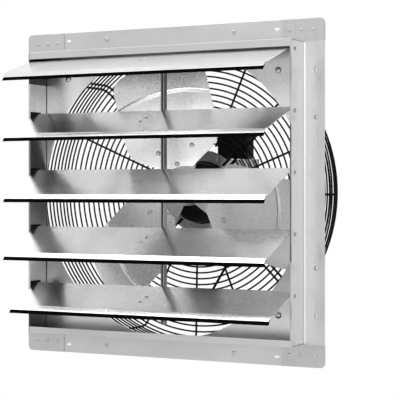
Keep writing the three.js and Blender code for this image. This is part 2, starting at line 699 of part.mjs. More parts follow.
function armHalfAngle(radius) {
  const shoulder = ARM_OUTER_RADIUS - ARM_ROUND;
  const reach = Math.min(radius, shoulder);
  const share = (reach - ARM_INNER_RADIUS) / (shoulder - ARM_INNER_RADIUS);
  const wide = ARM_INNER_HALF_WIDTH + (ARM_OUTER_HALF_WIDTH - ARM_INNER_HALF_WIDTH) * share;
  const endShare = Math.max(radius - shoulder, 0) / ARM_ROUND;
  return Math.asin((wide + (ARM_END_HALF_WIDTH - wide) * endShare) / radius);
}

function armSolid() {
  const behind = BLADE_SHEET / 2 + CLEARANCE + ARM_SHEET / 2;
  const middle = (HUB_RADIUS + ARM_OUTER_RADIUS) / 2;
  const shoulder = ARM_OUTER_RADIUS - ARM_ROUND;
  const radii = [ARM_INNER_RADIUS, HUB_RADIUS + ARM_ROUND, middle, shoulder, ARM_OUTER_RADIUS];
  const heightAt = (radius, tangent) => bladeHeight(tangent) + behind;
  return pressedPlate(radii, armHalfAngle, ARM_COLUMNS, ARM_SHEET, heightAt);
}

function bladeAngle(i) {
  return radians(FIRST_BLADE_ANGLE - i * 360 / BLADE_COUNT);
}

function hubSolid() {
  const bore = SHAFT_RADIUS + CLEARANCE;
  const boss = turned([[bore, HUB_FRONT], [HUB_RADIUS, HUB_FRONT], [HUB_RADIUS, HUB_BACK], [bore, HUB_BACK]]);
  const angles = Array.from({ length: BLADE_COUNT }, (_, i) => bladeAngle(i));
  const arms = angles.map((angle) => armSolid().rotate([0, -THREE.MathUtils.radToDeg(angle), 0]));
  return joined([boss, ...arms]);
}

function addFan() {
  for (let i = 0; i < BLADE_COUNT; i += 1) {
    const mesh = addMesh(`blade_${i + 1}`, bladeSolid(), bladeFinish());
    mesh.rotation.y = -bladeAngle(i);
  }
  addMesh('fan_hub', hubSolid(), castMetal());
  addMesh('fan_shaft', rodAlongY(SHAFT_RADIUS, SHAFT_FRONT, motorNoseFront + SHAFT_INSERT, 0, 0), steel());
}

// Wire guard: welded rings along a basket profile, from the rim on the panel back to the motor.
// It is a low cage at the panel, a second cage behind it and a dished grille for the back, welded
// where their spokes meet.
function cagePoint(radius, y) {
  return new THREE.Vector2(radius, y);
}

function cornerRoute(offset) {
  const centreRadius = guardBackRadius - GUARD_CORNER_RADIUS;
  const centreY = GUARD_BACK - GUARD_CORNER_RADIUS;
  const reach = GUARD_CORNER_RADIUS + offset;
  return Array.from({ length: BASKET_STEPS + 1 }, (_, i) => {
    const angle = (Math.PI / 2) * i / BASKET_STEPS;
    return cagePoint(centreRadius + reach * Math.cos(angle), centreY + reach * Math.sin(angle));
  });
}

function sideRoute(offset) {
  const endY = GUARD_BACK - GUARD_CORNER_RADIUS - SPOKE_END_GAP;
  return [cagePoint(guardRimRadius + offset, rimY), cagePoint(guardBackRadius + offset, endY)];
}

function frontRoute(offset) {
  const [foot, head] = sideRoute(offset);
  return [foot, foot.clone().lerp(head, CAGE_SPLIT_SHARE)];
}

function rearRoute(offset) {
  const [foot, head] = sideRoute(offset);
  const start = foot.clone().lerp(head, CAGE_SPLIT_SHARE);
  return [start.add(cagePoint(0, SPOKE_END_GAP)), head];
}

function backRoute(offset) {
  return [...cornerRoute(offset), cagePoint(guardInnerRadius, GUARD_BACK + offset)];
}

function lengthOf(route) {
  return route.slice(1).reduce((sum, point, i) => sum + point.distanceTo(route[i]), 0);
}

function placeAt(route, distance) {
  let rest = distance;
  let leg = 0;
  while (leg < route.length - 2 && rest > route[leg].distanceTo(route[leg + 1])) {
    rest -= route[leg].distanceTo(route[leg + 1]);
    leg += 1;
  }
  return route[leg].clone().lerp(route[leg + 1], rest / route[leg].distanceTo(route[leg + 1]));
}

// The spokes cross each ring at the middle of its straight stretches, so these carry the true radius.
function ringSolid(place, wire) {
  const segments = place.x < SMALL_RING_RADIUS ? RING_SEGMENTS / 2 : RING_SEGMENTS;
  const halfStep = Math.PI / segments;
  const ring = new THREE.TorusGeometry(place.x / Math.cos(halfStep), wire, WIRE_SIDES, segments);
  return solidOf(ring.rotateX(Math.PI / 2).rotateY(halfStep).translate(0, place.y, 0));
}

function onSpoke(place, angle) {
  return new THREE.Vector3(place.x * Math.cos(angle), place.y, place.x * Math.sin(angle));
}

function spokeSolids(route) {
  const slots = Array.from({ length: GUARD_SPOKE_SLOTS }, (_, i) => i);
  return slots.filter((i) => i % 4 !== 2).map((i) => {
    const angle = Math.PI * 2 * i / GUARD_SPOKE_SLOTS;
    return drawnAlong(route.map((place) => onSpoke(place, angle)), SPOKE_RADIUS, WIRE_SIDES);
  });
}

function addGuard() {
  const side = sideRoute(0);
  const back = backRoute(0);
  const sideLength = lengthOf(side);
  const pitch = (sideLength + lengthOf(back)) / (GUARD_RING_COUNT - 1);
  const reaches = Array.from({ length: GUARD_RING_COUNT }, (_, i) => pitch * i);
  const frontLength = sideLength * CAGE_SPLIT_SHARE;
  const frontRings = reaches.filter((reach) => reach < frontLength).map(
    (reach, i) => ringSolid(placeAt(side, reach), i === 0 ? RIM_WIRE_RADIUS : WIRE_RADIUS));
  const sideRings = reaches.filter((reach) => reach >= frontLength && reach < sideLength).map(
    (reach) => ringSolid(placeAt(side, reach), WIRE_RADIUS));
  const backRings = reaches.filter((reach) => reach >= sideLength).map(
    (reach) => ringSolid(placeAt(back, reach - sideLength), WIRE_RADIUS));
  const lift = WIRE_RADIUS + SPOKE_RADIUS - WELD_DEPTH;
  addMesh('guard_front', joined([...frontRings, ...spokeSolids(frontRoute(lift))]), blackWire());
  addMesh('guard_side', joined([...sideRings, ...spokeSolids(rearRoute(lift))]), blackWire());
  addMesh('guard_back', joined([...backRings, ...spokeSolids(backRoute(lift))]), blackWire());
}

// Motor rods: on each diagonal a steel rod is bent round a panel bolt and both of its legs run
// back outside the basket and inwards to the motor plate.
function rodLeg() {
  const gap = WIRE_RADIUS + CLEARANCE + ROD_RADIUS;
  const side = cornerRoute(gap);
  const sideRadius = guardRimRadius + RIM_WIRE_RADIUS + CLEARANCE + ROD_RADIUS;
  const foot = new THREE.Vector2(sideRadius, rodPanelY + ROD_BEND_RADIUS);
  const heel = new THREE.Vector2(sideRadius + ROD_BEND_RADIUS, rodPanelY);
  const bend = new THREE.Vector2().lerpVectors(foot, heel, 1 / 2).add(
    new THREE.Vector2(-ROD_BEND_RADIUS, -ROD_BEND_RADIUS).multiplyScalar(1 / ROD_SIDES));
  return [heel, bend, foot, ...side, new THREE.Vector2(rodInnerRadius, rodBackY)];
}

function rodRoute() {
  const leg = rodLeg();
  const half = ROD_SPACING / 2;
  const first = leg.map((place) => new THREE.Vector3(place.x, place.y, -half)).reverse();
  const second = leg.map((place) => new THREE.Vector3(place.x, place.y, half));
  const loop = Array.from({ length: LOOP_STEPS + 1 }, (_, i) => {
    const angle = -Math.PI / 2 + Math.PI * i / LOOP_STEPS;
    return new THREE.Vector3(boltRadius + half * Math.cos(angle), rodPanelY, half * Math.sin(angle));
  });
  return [...first, ...loop, ...second];
}

function addMotorRods() {
  for (let i = 0; i < ROD_COUNT; i += 1) {
    const rod = addMesh(`motor_rod_${i + 1}`, drawnAlong(rodRoute(), ROD_RADIUS, ROD_SIDES), blackWire());
    rod.rotation.y = -(EIGHTH_TURN + i * Math.PI * 2 / ROD_COUNT);
  }
}

// The plate has an arm to the right with a bent shelf, which carries the wiring box.
function addMotorPlate() {
  const plate = turned([
    [plateInnerRadius, plateFront], [plateOuterRadius, plateFront],
    [plateOuterRadius, plateBack], [plateInnerRadius, plateBack]]);
  const armTop = wiringBoxBottom - CLEARANCE;
  const shelfLeft = wiringBoxLeft + SHELF_FROM_LEFT;
  const armShape = rectangle(shelfLeft, wiringBoxRight + ARM_BEYOND_BOX, armTop - ARM_DROP, armTop);
  const arm = alongY(armShape, plateFront, plateBack);
  const shelfShape = rectangle(plateFront, plateBack + SHELF_DEPTH, armTop - PLATE_SHEET, armTop);
  const shelf = alongX(shelfShape, shelfLeft, shelfLeft + SHELF_WIDTH);
  addMesh('motor_plate', joined([plate, arm, shelf]), frameFinish());
}

function addMotor() {
  const bore = SHAFT_RADIUS + CLEARANCE;
  const flangeBack = motorFlangeFront + MOTOR_FLANGE;
  const bell = turned([
    [bore, motorNoseFront - MOTOR_BOSS], [MOTOR_BOSS_RADIUS, motorNoseFront - MOTOR_BOSS],
    [MOTOR_BOSS_RADIUS + MOTOR_BOSS / 2, motorNoseFront],
    [motorNoseRadius - MOTOR_NOSE_ROUND, motorNoseFront],
    [motorNoseRadius, motorNoseFront + MOTOR_NOSE_ROUND],
    [motorNoseRadius, motorFlangeFront], [motorFlangeRadius, motorFlangeFront],
    [motorFlangeRadius, flangeBack], [bore, flangeBack]]);
  addMesh('motor_front_bell', bell, castMetal());
  addMesh('motor_body', motorBodySolid(), motorBlack());
  addMesh('motor_rear_bell', rearBellSolid(), motorBlack());
}

function motorBodySolid() {
  const outline = [[0, motorBodyFront], [MOTOR_BODY_RADIUS, motorBodyFront]];
  const pitch = MOTOR_BODY / (MOTOR_RIB_COUNT + 1);
  for (let i = 1; i <= MOTOR_RIB_COUNT; i += 1) {
    const y = motorBodyFront + pitch * i;
    outline.push([MOTOR_BODY_RADIUS, y - MOTOR_RIB], [MOTOR_BODY_RADIUS + MOTOR_RIB, y - MOTOR_RIB / 2]);
    outline.push([MOTOR_BODY_RADIUS + MOTOR_RIB, y + MOTOR_RIB / 2], [MOTOR_BODY_RADIUS, y + MOTOR_RIB]);
  }
  outline.push([MOTOR_BODY_RADIUS, motorBodyBack], [0, motorBodyBack]);
  return turned(outline);
}

function rearBellSolid() {
  const front = motorBodyBack + CLEARANCE;
  const back = front + REAR_BELL;
  const bell = turned([
    [0, front], [MOTOR_BODY_RADIUS, front], [MOTOR_BODY_RADIUS, back - REAR_BELL_ROUND],
    [MOTOR_BODY_RADIUS - REAR_BELL_ROUND, back], [REAR_BOSS_RADIUS, back],
    [REAR_BOSS_RADIUS - MOTOR_RIB, back + MOTOR_RIB], [0, back + MOTOR_RIB]]);
  const ventHalf = VENT_WIDTH / 2;
  const slot = roundedRectangle(VENT_INNER_RADIUS, ventOuterRadius, -ventHalf, ventHalf, ventHalf);
  const vent = alongY(slot, back - VENT_DEPTH, back + CUT_OVERRUN);
  const vents = Array.from({ length: VENT_COUNT }, (_, i) => vent.rotate([0, 360 * i / VENT_COUNT, 0]));
  return cutBy(bell, vents);
}

// Wiring box beside the motor body, hollowed where it sits on it, with its lid and its cable gland.
function addWiringBox() {
  const left = wiringBoxLeft;
  const right = wiringBoxRight;
  const bottom = wiringBoxBottom;
  const top = bottom + WIRING_BOX_HEIGHT;
  const front = motorBodyFront;
  const back = front + WIRING_BOX_DEPTH;
  const box = alongY(roundedRectangle(left, right, bottom, top, WIRING_BOX_CORNER), front, back);
  const seat = rodAlongY(motorReach, front - CUT_OVERRUN, back + CUT_OVERRUN, 0, 0, HOLE_SEGMENTS);
  addMesh('wiring_box', box.subtract(seat), motorBlack());
  const lid = roundedRectangle(
    left + LID_INSET, right - LID_INSET, bottom + LID_INSET, top - LID_INSET, WIRING_BOX_CORNER);
  addMesh('wiring_box_lid', alongY(lid, back + CLEARANCE, back + CLEARANCE + LID_SHEET), motorBlack());
  const gland = turned([
    [GLAND_BORE, 0], [GLAND_NUT_RADIUS, 0], [GLAND_NUT_RADIUS, GLAND_NUT], [GLAND_RADIUS, GLAND_NUT],
    [GLAND_RADIUS, GLAND_LENGTH], [GLAND_BORE, GLAND_LENGTH]], SMALL_SEGMENTS);
  const mesh = addMesh('cable_gland', gland, blackPlastic());
  mesh.position.set(right - GLAND_FROM_RIGHT, (front + back) / 2, bottom - CLEARANCE);
  mesh.rotation.x = -Math.PI / 2;
}

addFrame();
addPanel();
addPanelBolts();
addLouvres();
addTieBar();
addBearings();
addFan();
addGuard();
addMotorRods();
addMotorPlate();
addMotor();
addWiringBox();

export default fan;
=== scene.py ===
# %% [markdown]
# # A shutter exhaust fan, dressed on its frame
#
# The real object is a square sheet-metal box for a wall opening. Five linked louvres close its
# front, a three-bladed fan turns behind them, and a black wire guard at the back carries the
# motor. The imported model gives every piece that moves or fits. This script gives these pieces
# their finish, and models what is too fine or too round for the faceted solids.
#
# The frame comes first, because each later piece takes its place from it.

# %% Load the frame
import json
import math
import random

import bpy
from mathutils import Matrix, Vector

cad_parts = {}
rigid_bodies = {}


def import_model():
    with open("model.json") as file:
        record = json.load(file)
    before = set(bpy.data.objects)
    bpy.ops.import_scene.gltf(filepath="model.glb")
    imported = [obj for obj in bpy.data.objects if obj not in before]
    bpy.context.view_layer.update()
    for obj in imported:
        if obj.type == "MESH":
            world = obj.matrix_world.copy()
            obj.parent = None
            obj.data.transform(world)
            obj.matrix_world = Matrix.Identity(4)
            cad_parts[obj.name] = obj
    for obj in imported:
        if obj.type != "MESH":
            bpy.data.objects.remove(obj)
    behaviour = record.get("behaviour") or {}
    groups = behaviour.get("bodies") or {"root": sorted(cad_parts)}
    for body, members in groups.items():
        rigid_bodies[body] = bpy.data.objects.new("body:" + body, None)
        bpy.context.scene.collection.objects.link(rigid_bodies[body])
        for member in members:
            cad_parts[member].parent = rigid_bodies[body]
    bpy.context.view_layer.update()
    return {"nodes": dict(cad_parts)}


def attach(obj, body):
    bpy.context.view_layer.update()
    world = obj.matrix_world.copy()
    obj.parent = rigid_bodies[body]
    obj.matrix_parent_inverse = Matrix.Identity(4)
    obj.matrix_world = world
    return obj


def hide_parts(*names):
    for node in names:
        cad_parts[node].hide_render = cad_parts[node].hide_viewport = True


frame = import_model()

MM = 0.001
nodes = frame["nodes"]

# %% [markdown]
# ## The camera
#
# A photo of a known rectangle can be solved for its camera. The corners of the wall flange and
# the ends of the louvres gave one place for the lens, 2.35 m away and level with the fan. The
# fan isn't in the middle of the picture, so the lens is shifted a little, as on a view camera.

# %% Place the camera
TURN = 27.05
TILT = 90.087
camera_data = bpy.data.cameras.new("camera")
camera_data.sensor_width = 36.0
camera_data.lens = 120.9
camera_data.shift_x = 0.0709
camera_data.shift_y = -0.0290
camera = bpy.data.objects.new("camera", camera_data)
camera.location = (1.0728, -2.0911, 0.0038)
camera.rotation_euler = (math.radians(TILT), 0.0, math.radians(TURN))
bpy.context.scene.collection.objects.link(camera)
bpy.context.scene.camera = camera
print("camera at", tuple(camera.location))

# %% [markdown]
# ## The room
#
# Bare sheet looks like what stands around it. The surroundings are therefore part of the finish:
# a bright room that is darker towards the floor, with a dark corner behind the fan on the right.
# High up in front it is a little dimmer, so that the louvres don't turn white when they close.
# Only rays that a glossy surface sends back see this room. The camera sees plain white behind
# the fan, and an even light falls on the matt pieces.

# %% Helpers for the surroundings
scene = bpy.context.scene
scene.view_settings.view_transform = "Standard"
world = bpy.data.worlds.new("white_room")
scene.world = world
world.use_nodes = True
room = world.node_tree
room.nodes.clear()


def room_node(kind, **settings):
    node = room.nodes.new(kind)
    for key, value in settings.items():
        setattr(node, key, value)
    return node


def room_range(low, high, first, last, **settings):
    """A node that brings the span low to high onto first to last."""
    node = room_node("ShaderNodeMapRange", **settings)
    sockets = ("From Min", "From Max", "To Min", "To Max")
    for name, value in zip(sockets, (low, high, first, last)):
        node.inputs[name].default_value = value
    return node


def room_math(operation, first, second):
    """The result of one sum on two outputs of other nodes."""
    node = room_node("ShaderNodeMath", operation=operation)
    room.links.new(first, node.inputs[0])
    room.links.new(second, node.inputs[1])
    return node.outputs[0]


# %% Shade the surroundings
DARK_CORNER = (0.5, 0.82, 0.28)
DIM_CEILING = (-0.25, -0.87, 0.42)
direction = room_node("ShaderNodeTexCoord")


def room_cone(towards, wide, narrow, tone):
    """A factor that falls from 1 to a tone inside a cone, given by the cosines of two angles."""
    along = room_node("ShaderNodeVectorMath", operation="DOT_PRODUCT")
    along.inputs[1].default_value = Vector(towards).normalized()
    fade = room_range(wide, narrow, 1.0, tone, interpolation_type="SMOOTHSTEP")
    room.links.new(direction.outputs["Generated"], along.inputs[0])
    room.links.new(along.outputs["Value"], fade.inputs["Value"])
    return fade.outputs["Result"]


split = room_node("ShaderNodeSeparateXYZ")
height_shade = room_range(-0.3, 0.15, 0.35, 1.12)
room.links.new(direction.outputs["Generated"], split.inputs[0])
room.links.new(split.outputs["Z"], height_shade.inputs["Value"])
dark_corner = room_cone(DARK_CORNER, 0.70, 0.92, 0.03)
dim_ceiling = room_cone(DIM_CEILING, 0.88, 0.97, 0.76)
back_shade = room_math("MULTIPLY", height_shade.outputs["Result"], dark_corner)
room_shade = room_math("MULTIPLY", back_shade, dim_ceiling)
print("dark towards", DARK_CORNER, "and a little dimmer towards", DIM_CEILING)

# %% Show each kind of ray its own surroundings
EVEN_LIGHT = 0.75
WHITE = (1.0, 1.0, 1.0, 1.0)
path = room_node("ShaderNodeLightPath")
seen = room_node("ShaderNodeBackground")
mirrored = room_node("ShaderNodeBackground")
lighting = room_node("ShaderNodeBackground")
by_gloss = room_node("ShaderNodeMixShader")
by_camera = room_node("ShaderNodeMixShader")
room_out = room_node("ShaderNodeOutputWorld")
seen.inputs["Color"].default_value = WHITE
lighting.inputs["Color"].default_value = WHITE
lighting.inputs["Strength"].default_value = EVEN_LIGHT
glossy_or_clear = room_math(
    "MAXIMUM", path.outputs["Is Glossy Ray"], path.outputs["Is Transmission Ray"])
room.links.new(room_shade, mirrored.inputs["Color"])
room.links.new(glossy_or_clear, by_gloss.inputs["Fac"])
room.links.new(lighting.outputs[0], by_gloss.inputs[1])
room.links.new(mirrored.outputs[0], by_gloss.inputs[2])
room.links.new(path.outputs["Is Camera Ray"], by_camera.inputs["Fac"])
room.links.new(by_gloss.outputs[0], by_camera.inputs[1])
room.links.new(seen.outputs[0], by_camera.inputs[2])
room.links.new(by_camera.outputs[0], room_out.inputs["Surface"])
print("room nodes:", len(room.nodes))

# %% [markdown]
# ## The floor and the lamps
#
# A fan like this hangs in a wall, so the floor lies well below it. It is pale and plain. Three
# large soft lamps stand for studio boxes: one high at the left front, a weak one in front, and
# one high behind. The first hangs high, so that closed louvres don't turn white under it.

# %% Make the floor
FLOOR_LEVEL = -1.1
FLOOR_HALF = 14.0
floor_mesh = bpy.data.meshes.new("floor")
floor_mesh.from_pydata(
    [(-FLOOR_HALF, -FLOOR_HALF, FLOOR_LEVEL), (FLOOR_HALF, -FLOOR_HALF, FLOOR_LEVEL),
     (FLOOR_HALF, FLOOR_HALF, FLOOR_LEVEL), (-FLOOR_HALF, FLOOR_HALF, FLOOR_LEVEL)],
    [], [(0, 1, 2, 3)])
floor = bpy.data.objects.new("floor", floor_mesh)
scene.collection.objects.link(floor)
floor_paint = bpy.data.materials.new("floor_paint")
floor_paint.use_nodes = True
paint = floor_paint.node_tree
matt = paint.nodes["Principled BSDF"]
matt.inputs["Base Color"].default_value = (0.9, 0.9, 0.9, 1.0)
matt.inputs["Roughness"].default_value = 1.0
white = paint.nodes.new("ShaderNodeEmission")
white.inputs["Strength"].default_value = 1.0
floor_path = paint.nodes.new("ShaderNodeLightPath")
floor_mix = paint.nodes.new("ShaderNodeMixShader")
paint.links.new(floor_path.outputs["Is Camera Ray"], floor_mix.inputs["Fac"])
paint.links.new(matt.outputs[0], floor_mix.inputs[1])
paint.links.new(white.outputs[0], floor_mix.inputs[2])
paint.links.new(floor_mix.outputs[0], paint.nodes["Material Output"].inputs["Surface"])
floor_mesh.materials.append(floor_paint)
print("floor at", FLOOR_LEVEL, "m")


# %% Hang the lamps
def soft_lamp(name, place, aim, size, watts):
    """A square studio box that points from its place towards its aim."""
    data = bpy.data.lights.new(name, "AREA")
    data.shape = "SQUARE"
    data.size = size
    data.energy = watts
    lamp = bpy.data.objects.new(name, data)
    lamp.location = place
    lamp.rotation_euler = (Vector(aim) - Vector(place)).to_track_quat("-Z", "Y").to_euler()
    scene.collection.objects.link(lamp)


soft_lamp("key_lamp", (-1.5, -1.9, 3.5), (0.0, 0.0, 0.0), 2.2, 54.0)
soft_lamp("fill_lamp", (0.75, -2.9, 0.1), (0.0, 0.0, 0.0), 2.0, 14.0)
soft_lamp("rear_lamp", (0.8, 2.8, 2.0), (0.0, 0.1, 0.0), 2.0, 30.0)

# %% [markdown]
# ## Finishes
#
# Each finish is one Principled shader. Its colour and fine relief come from noise in the piece's
# own coordinates, and except on felt its roughness does too. Most sheet shows how it was rolled,
# so its noise is drawn out that way. Castings and coats have an even grain. The sheets have sharp
# edges, so a Bevel node in the finish lets an edge catch the light, and the mesh stays as it is.


# %% Helpers for finishes
NOISE_LOW, NOISE_HIGH = 0.3, 0.7
BEVEL_SAMPLES = 8
finishes = []


def new_finish(name, settings):
    """A material with these values on its shader, with its node tree and that shader."""
    material = bpy.data.materials.new(name)
    material.use_nodes = True
    shader = material.node_tree.nodes["Principled BSDF"]
    for socket, value in settings.items():
        shader.inputs[socket].default_value = value
    finishes.append(name)
    return material, material.node_tree, shader


def grain(tree, scale, detail=3.0, stretch=(1.0, 1.0, 1.0)):
    """Noise in the piece's own coordinates, drawn out by the given factors."""
    place = tree.nodes.new("ShaderNodeTexCoord")
    mapping = tree.nodes.new("ShaderNodeMapping")
    mapping.inputs["Scale"].default_value = stretch
    noise = tree.nodes.new("ShaderNodeTexNoise")
    noise.inputs["Scale"].default_value = scale
    noise.inputs["Detail"].default_value = detail
    tree.links.new(place.outputs["Object"], mapping.inputs["Vector"])
    tree.links.new(mapping.outputs["Vector"], noise.inputs["Vector"])
    return noise.outputs["Fac"]


def spread(tree, value, low, high):
    """The noise value, whose usual range is brought to run from low to high."""
    ranged = tree.nodes.new("ShaderNodeMapRange")
    ranged.inputs["From Min"].default_value = NOISE_LOW
    ranged.inputs["From Max"].default_value = NOISE_HIGH
    ranged.inputs["To Min"].default_value = low
    ranged.inputs["To Max"].default_value = high
    tree.links.new(value, ranged.inputs["Value"])
    return ranged.outputs["Result"]


def tint(tree, shader, value, dark, light):
    """The colour drifts between two tones with the noise."""
    mix = tree.nodes.new("ShaderNodeMix")
    mix.data_type = "RGBA"
    mix.inputs["A"].default_value = (*dark, 1.0)
    mix.inputs["B"].default_value = (*light, 1.0)
    tree.links.new(spread(tree, value, 0.0, 1.0), mix.inputs["Factor"])
    tree.links.new(mix.outputs["Result"], shader.inputs["Base Color"])


def relief(tree, shader, value, strength, depth, fold=0.0):
    """A fine bump that the noise gives. A fold radius makes sharp edges look rounded."""
    bump = tree.nodes.new("ShaderNodeBump")
    if fold:
        bevel = tree.nodes.new("ShaderNodeBevel")
        bevel.samples = BEVEL_SAMPLES
        bevel.inputs["Radius"].default_value = fold
        tree.links.new(bevel.outputs["Normal"], bump.inputs["Normal"])
    bump.inputs["Strength"].default_value = strength
    bump.inputs["Distance"].default_value = depth
    tree.links.new(value, bump.inputs["Height"])
    tree.links.new(bump.outputs["Normal"], shader.inputs["Normal"])


# %% [markdown]
# ### Painted shade and light
#
# Some sheets have light and shade painted into their colour. The panel has painted shade in a
# band below its middle and is painted lighter again at its foot, the walls inside the box have
# painted shade, the outside of the right wall has painted light, and the top louvre has a nearly
# black painted shadow under the top lip. Limits on a piece's own coordinates pick such a part,
# and another tone is mixed in there. So one sheet keeps one finish.


# %% Helpers for painted shade and light
def where(tree, tests):
    """1 where a place passes every test. X and Z are taken without their sign."""
    place = tree.nodes.new("ShaderNodeTexCoord")
    parts = tree.nodes.new("ShaderNodeSeparateXYZ")
    tree.links.new(place.outputs["Object"], parts.inputs[0])
    value = None
    for axis, comparison, limit in tests:
        distance = parts.outputs[axis]
        if axis != "Y":
            size = tree.nodes.new("ShaderNodeMath")
            size.operation = "ABSOLUTE"
            tree.links.new(distance, size.inputs[0])
            distance = size.outputs[0]
        test = tree.nodes.new("ShaderNodeMath")
        test.operation = comparison
        test.inputs[1].default_value = limit
        tree.links.new(distance, test.inputs[0])
        if value is None:
            value = test.outputs[0]
            continue
        both = tree.nodes.new("ShaderNodeMath")
        both.operation = "MULTIPLY"
        tree.links.new(value, both.inputs[0])
        tree.links.new(test.outputs[0], both.inputs[1])
        value = both.outputs[0]
    return value


def blend_in(tree, factor, tone):
    """Mix another tone into the colour by a factor."""
    colour = tree.nodes["Principled BSDF"].inputs["Base Color"]
    before = colour.links[0].from_socket
    mix = tree.nodes.new("ShaderNodeMix")
    mix.data_type = "RGBA"
    mix.inputs["B"].default_value = (tone, tone, tone, 1.0)
    tree.links.new(factor, mix.inputs["Factor"])
    tree.links.new(before, mix.inputs["A"])
    tree.links.new(mix.outputs["Result"], colour)


def paint_light_and_shade(material, tests, tone):
    """Paint light and shade: another tone on the part of a sheet that passes the tests."""
    blend_in(material.node_tree, where(material.node_tree, tests), tone)


def fade_painted_light_and_shade(material, unpainted_above, painted_below, tone):
    """Painted shade and light: the colour fades to another tone from one height down to another."""
    tree = material.node_tree
    place = tree.nodes.new("ShaderNodeTexCoord")
    parts = tree.nodes.new("ShaderNodeSeparateXYZ")
    fade = tree.nodes.new("ShaderNodeMapRange")
    fade.interpolation_type = "SMOOTHSTEP"
    span = {"From Min": painted_below, "From Max": unpainted_above, "To Min": 1.0, "To Max": 0.0}
    for name, value in span.items():
        fade.inputs[name].default_value = value
    tree.links.new(place.outputs["Object"], parts.inputs[0])
    tree.links.new(parts.outputs["Z"], fade.inputs["Value"])
    blend_in(tree, fade.outputs["Result"], tone)


# %% Make a sheet finish
CLOUDS = 9.0
ROLLING_LINES = 260.0
FOLD = 0.0008


def grey(tone):
    return (tone, tone, tone)


def silver(tone):
    """A grey that is a trace bluer than neutral."""
    return (tone, tone, tone + 0.005)


def sheet_finish(name, dark, light, rough, along, lines_bump=0.05, fold=FOLD):
    """Rolled sheet: faint clouds of tone, and fine lines along the rolling direction."""
    material, tree, shader = new_finish(name, {"Metallic": 1.0, "Specular IOR Level": 0.5})
    drawn = {"x": (0.04, 1.0, 1.0), "z": (1.0, 1.0, 0.04), "none": (1.0, 1.0, 1.0)}[along]
    tint(tree, shader, grain(tree, CLOUDS, 4.0), dark, light)
    lines = grain(tree, ROLLING_LINES, 2.0, drawn)
    tree.links.new(spread(tree, lines, *rough), shader.inputs["Roughness"])
    relief(tree, shader, lines, lines_bump, 0.0002, fold)
    return material


# %% Sheet finishes of the frame and the louvres
flat_sheet = sheet_finish("flat_sheet", silver(0.56), silver(0.63), (0.32, 0.42), "x")
panel_sheet = sheet_finish("panel_sheet", silver(0.80), silver(0.88), (0.27, 0.31), "none", 0.0)
left_sheet = sheet_finish("left_sheet", silver(0.53), silver(0.61), (0.30, 0.40), "z")
right_sheet = sheet_finish("right_sheet", silver(0.52), silver(0.59), (0.26, 0.34), "z")
bar_sheet = sheet_finish("bar_sheet", grey(0.42), grey(0.52), (0.30, 0.40), "z")
louvre_sheet = sheet_finish("louvre_sheet", silver(0.86), silver(0.94), (0.16, 0.26), "x")
# The top louvre's finish is a darker copy, painted shade under the top lip.
shaded_top_louvre_sheet = sheet_finish(
    "shaded_top_louvre_sheet", silver(0.66), silver(0.73), (0.16, 0.26), "x")
print("finishes of the frame and the louvres:", len(finishes))

# %% Sheet finishes of the blades and the bends
blade_sheet = sheet_finish(
    "blade_sheet", silver(0.90), silver(0.96), (0.24, 0.28), "none", 0.0, 0.0)
# The bend's finish is paler than the walls: a painted highlight along each fold.
bend_highlight_sheet = sheet_finish(
    "bend_highlight_sheet", silver(0.90), silver(0.95), (0.18, 0.24), "z", 0.0, 0.0)
# A darker copy of the blade finish paints shade on one blade.
shaded_blade_sheet = sheet_finish(
    "shaded_blade_sheet", silver(0.48), silver(0.56), (0.24, 0.28), "none", 0.0, 0.0)
print("sheet finishes:", len(finishes))

# %% Painted shade and light on the frame
WALL_FACE = 0.2533
BOX_TOP = 0.2508
shaded_inside_flat = [
    ("Z", "LESS_THAN", BOX_TOP), ("Y", "GREATER_THAN", -0.0575), ("Y", "LESS_THAN", -0.0015)]
shaded_inside_wall = [("X", "LESS_THAN", WALL_FACE), ("Z", "LESS_THAN", 0.112)]
shadowed_wall_ends = [
    ("X", "LESS_THAN", WALL_FACE), ("Z", "GREATER_THAN", 0.195), ("Z", "LESS_THAN", BOX_TOP)]
upright = [("X", "GREATER_THAN", WALL_FACE), ("Z", "LESS_THAN", 0.2517)]
shadow_under_lip = [("Y", "GREATER_THAN", -0.061), ("Y", "LESS_THAN", -0.045)]
# Painted shade inside the box, and a nearly black painted shadow at the ends of the left wall.
paint_light_and_shade(flat_sheet, shaded_inside_flat, 0.28)
paint_light_and_shade(left_sheet, shaded_inside_wall, 0.26)
paint_light_and_shade(left_sheet, shadowed_wall_ends, 0.05)
paint_light_and_shade(right_sheet, shaded_inside_wall, 0.20)
# Painted light: a lighter tone on the outside of the right wall and its flange.
paint_light_and_shade(right_sheet, upright, 0.64)
# A nearly black painted shadow on the top louvre under the top lip.
paint_light_and_shade(shaded_top_louvre_sheet, shadow_under_lip, 0.01)
# Painted shade on the panel below its middle, painted lighter again near its foot.
PANEL_PAINTED_FADES = ((0.07, -0.07, 0.40), (-0.14, -0.19, 0.84))
for unpainted_above, painted_below, tone in PANEL_PAINTED_FADES:
    fade_painted_light_and_shade(panel_sheet, unpainted_above, painted_below, tone)
print("panel fades, from, to and tone:", PANEL_PAINTED_FADES)


# %% Cast, plated and painted finishes
def grained_finish(name, dark, light, metallic, rough, grain_scale, bump):
    """Even grain for castings, plating, paint, powder coat and nylon."""
    material, tree, shader = new_finish(name, {"Metallic": metallic})
    tint(tree, shader, grain(tree, grain_scale / 12.0, 3.0), dark, light)
    fine = grain(tree, grain_scale, 2.0)
    tree.links.new(spread(tree, fine, *rough), shader.inputs["Roughness"])
    relief(tree, shader, fine, bump, 0.0003)
    return material


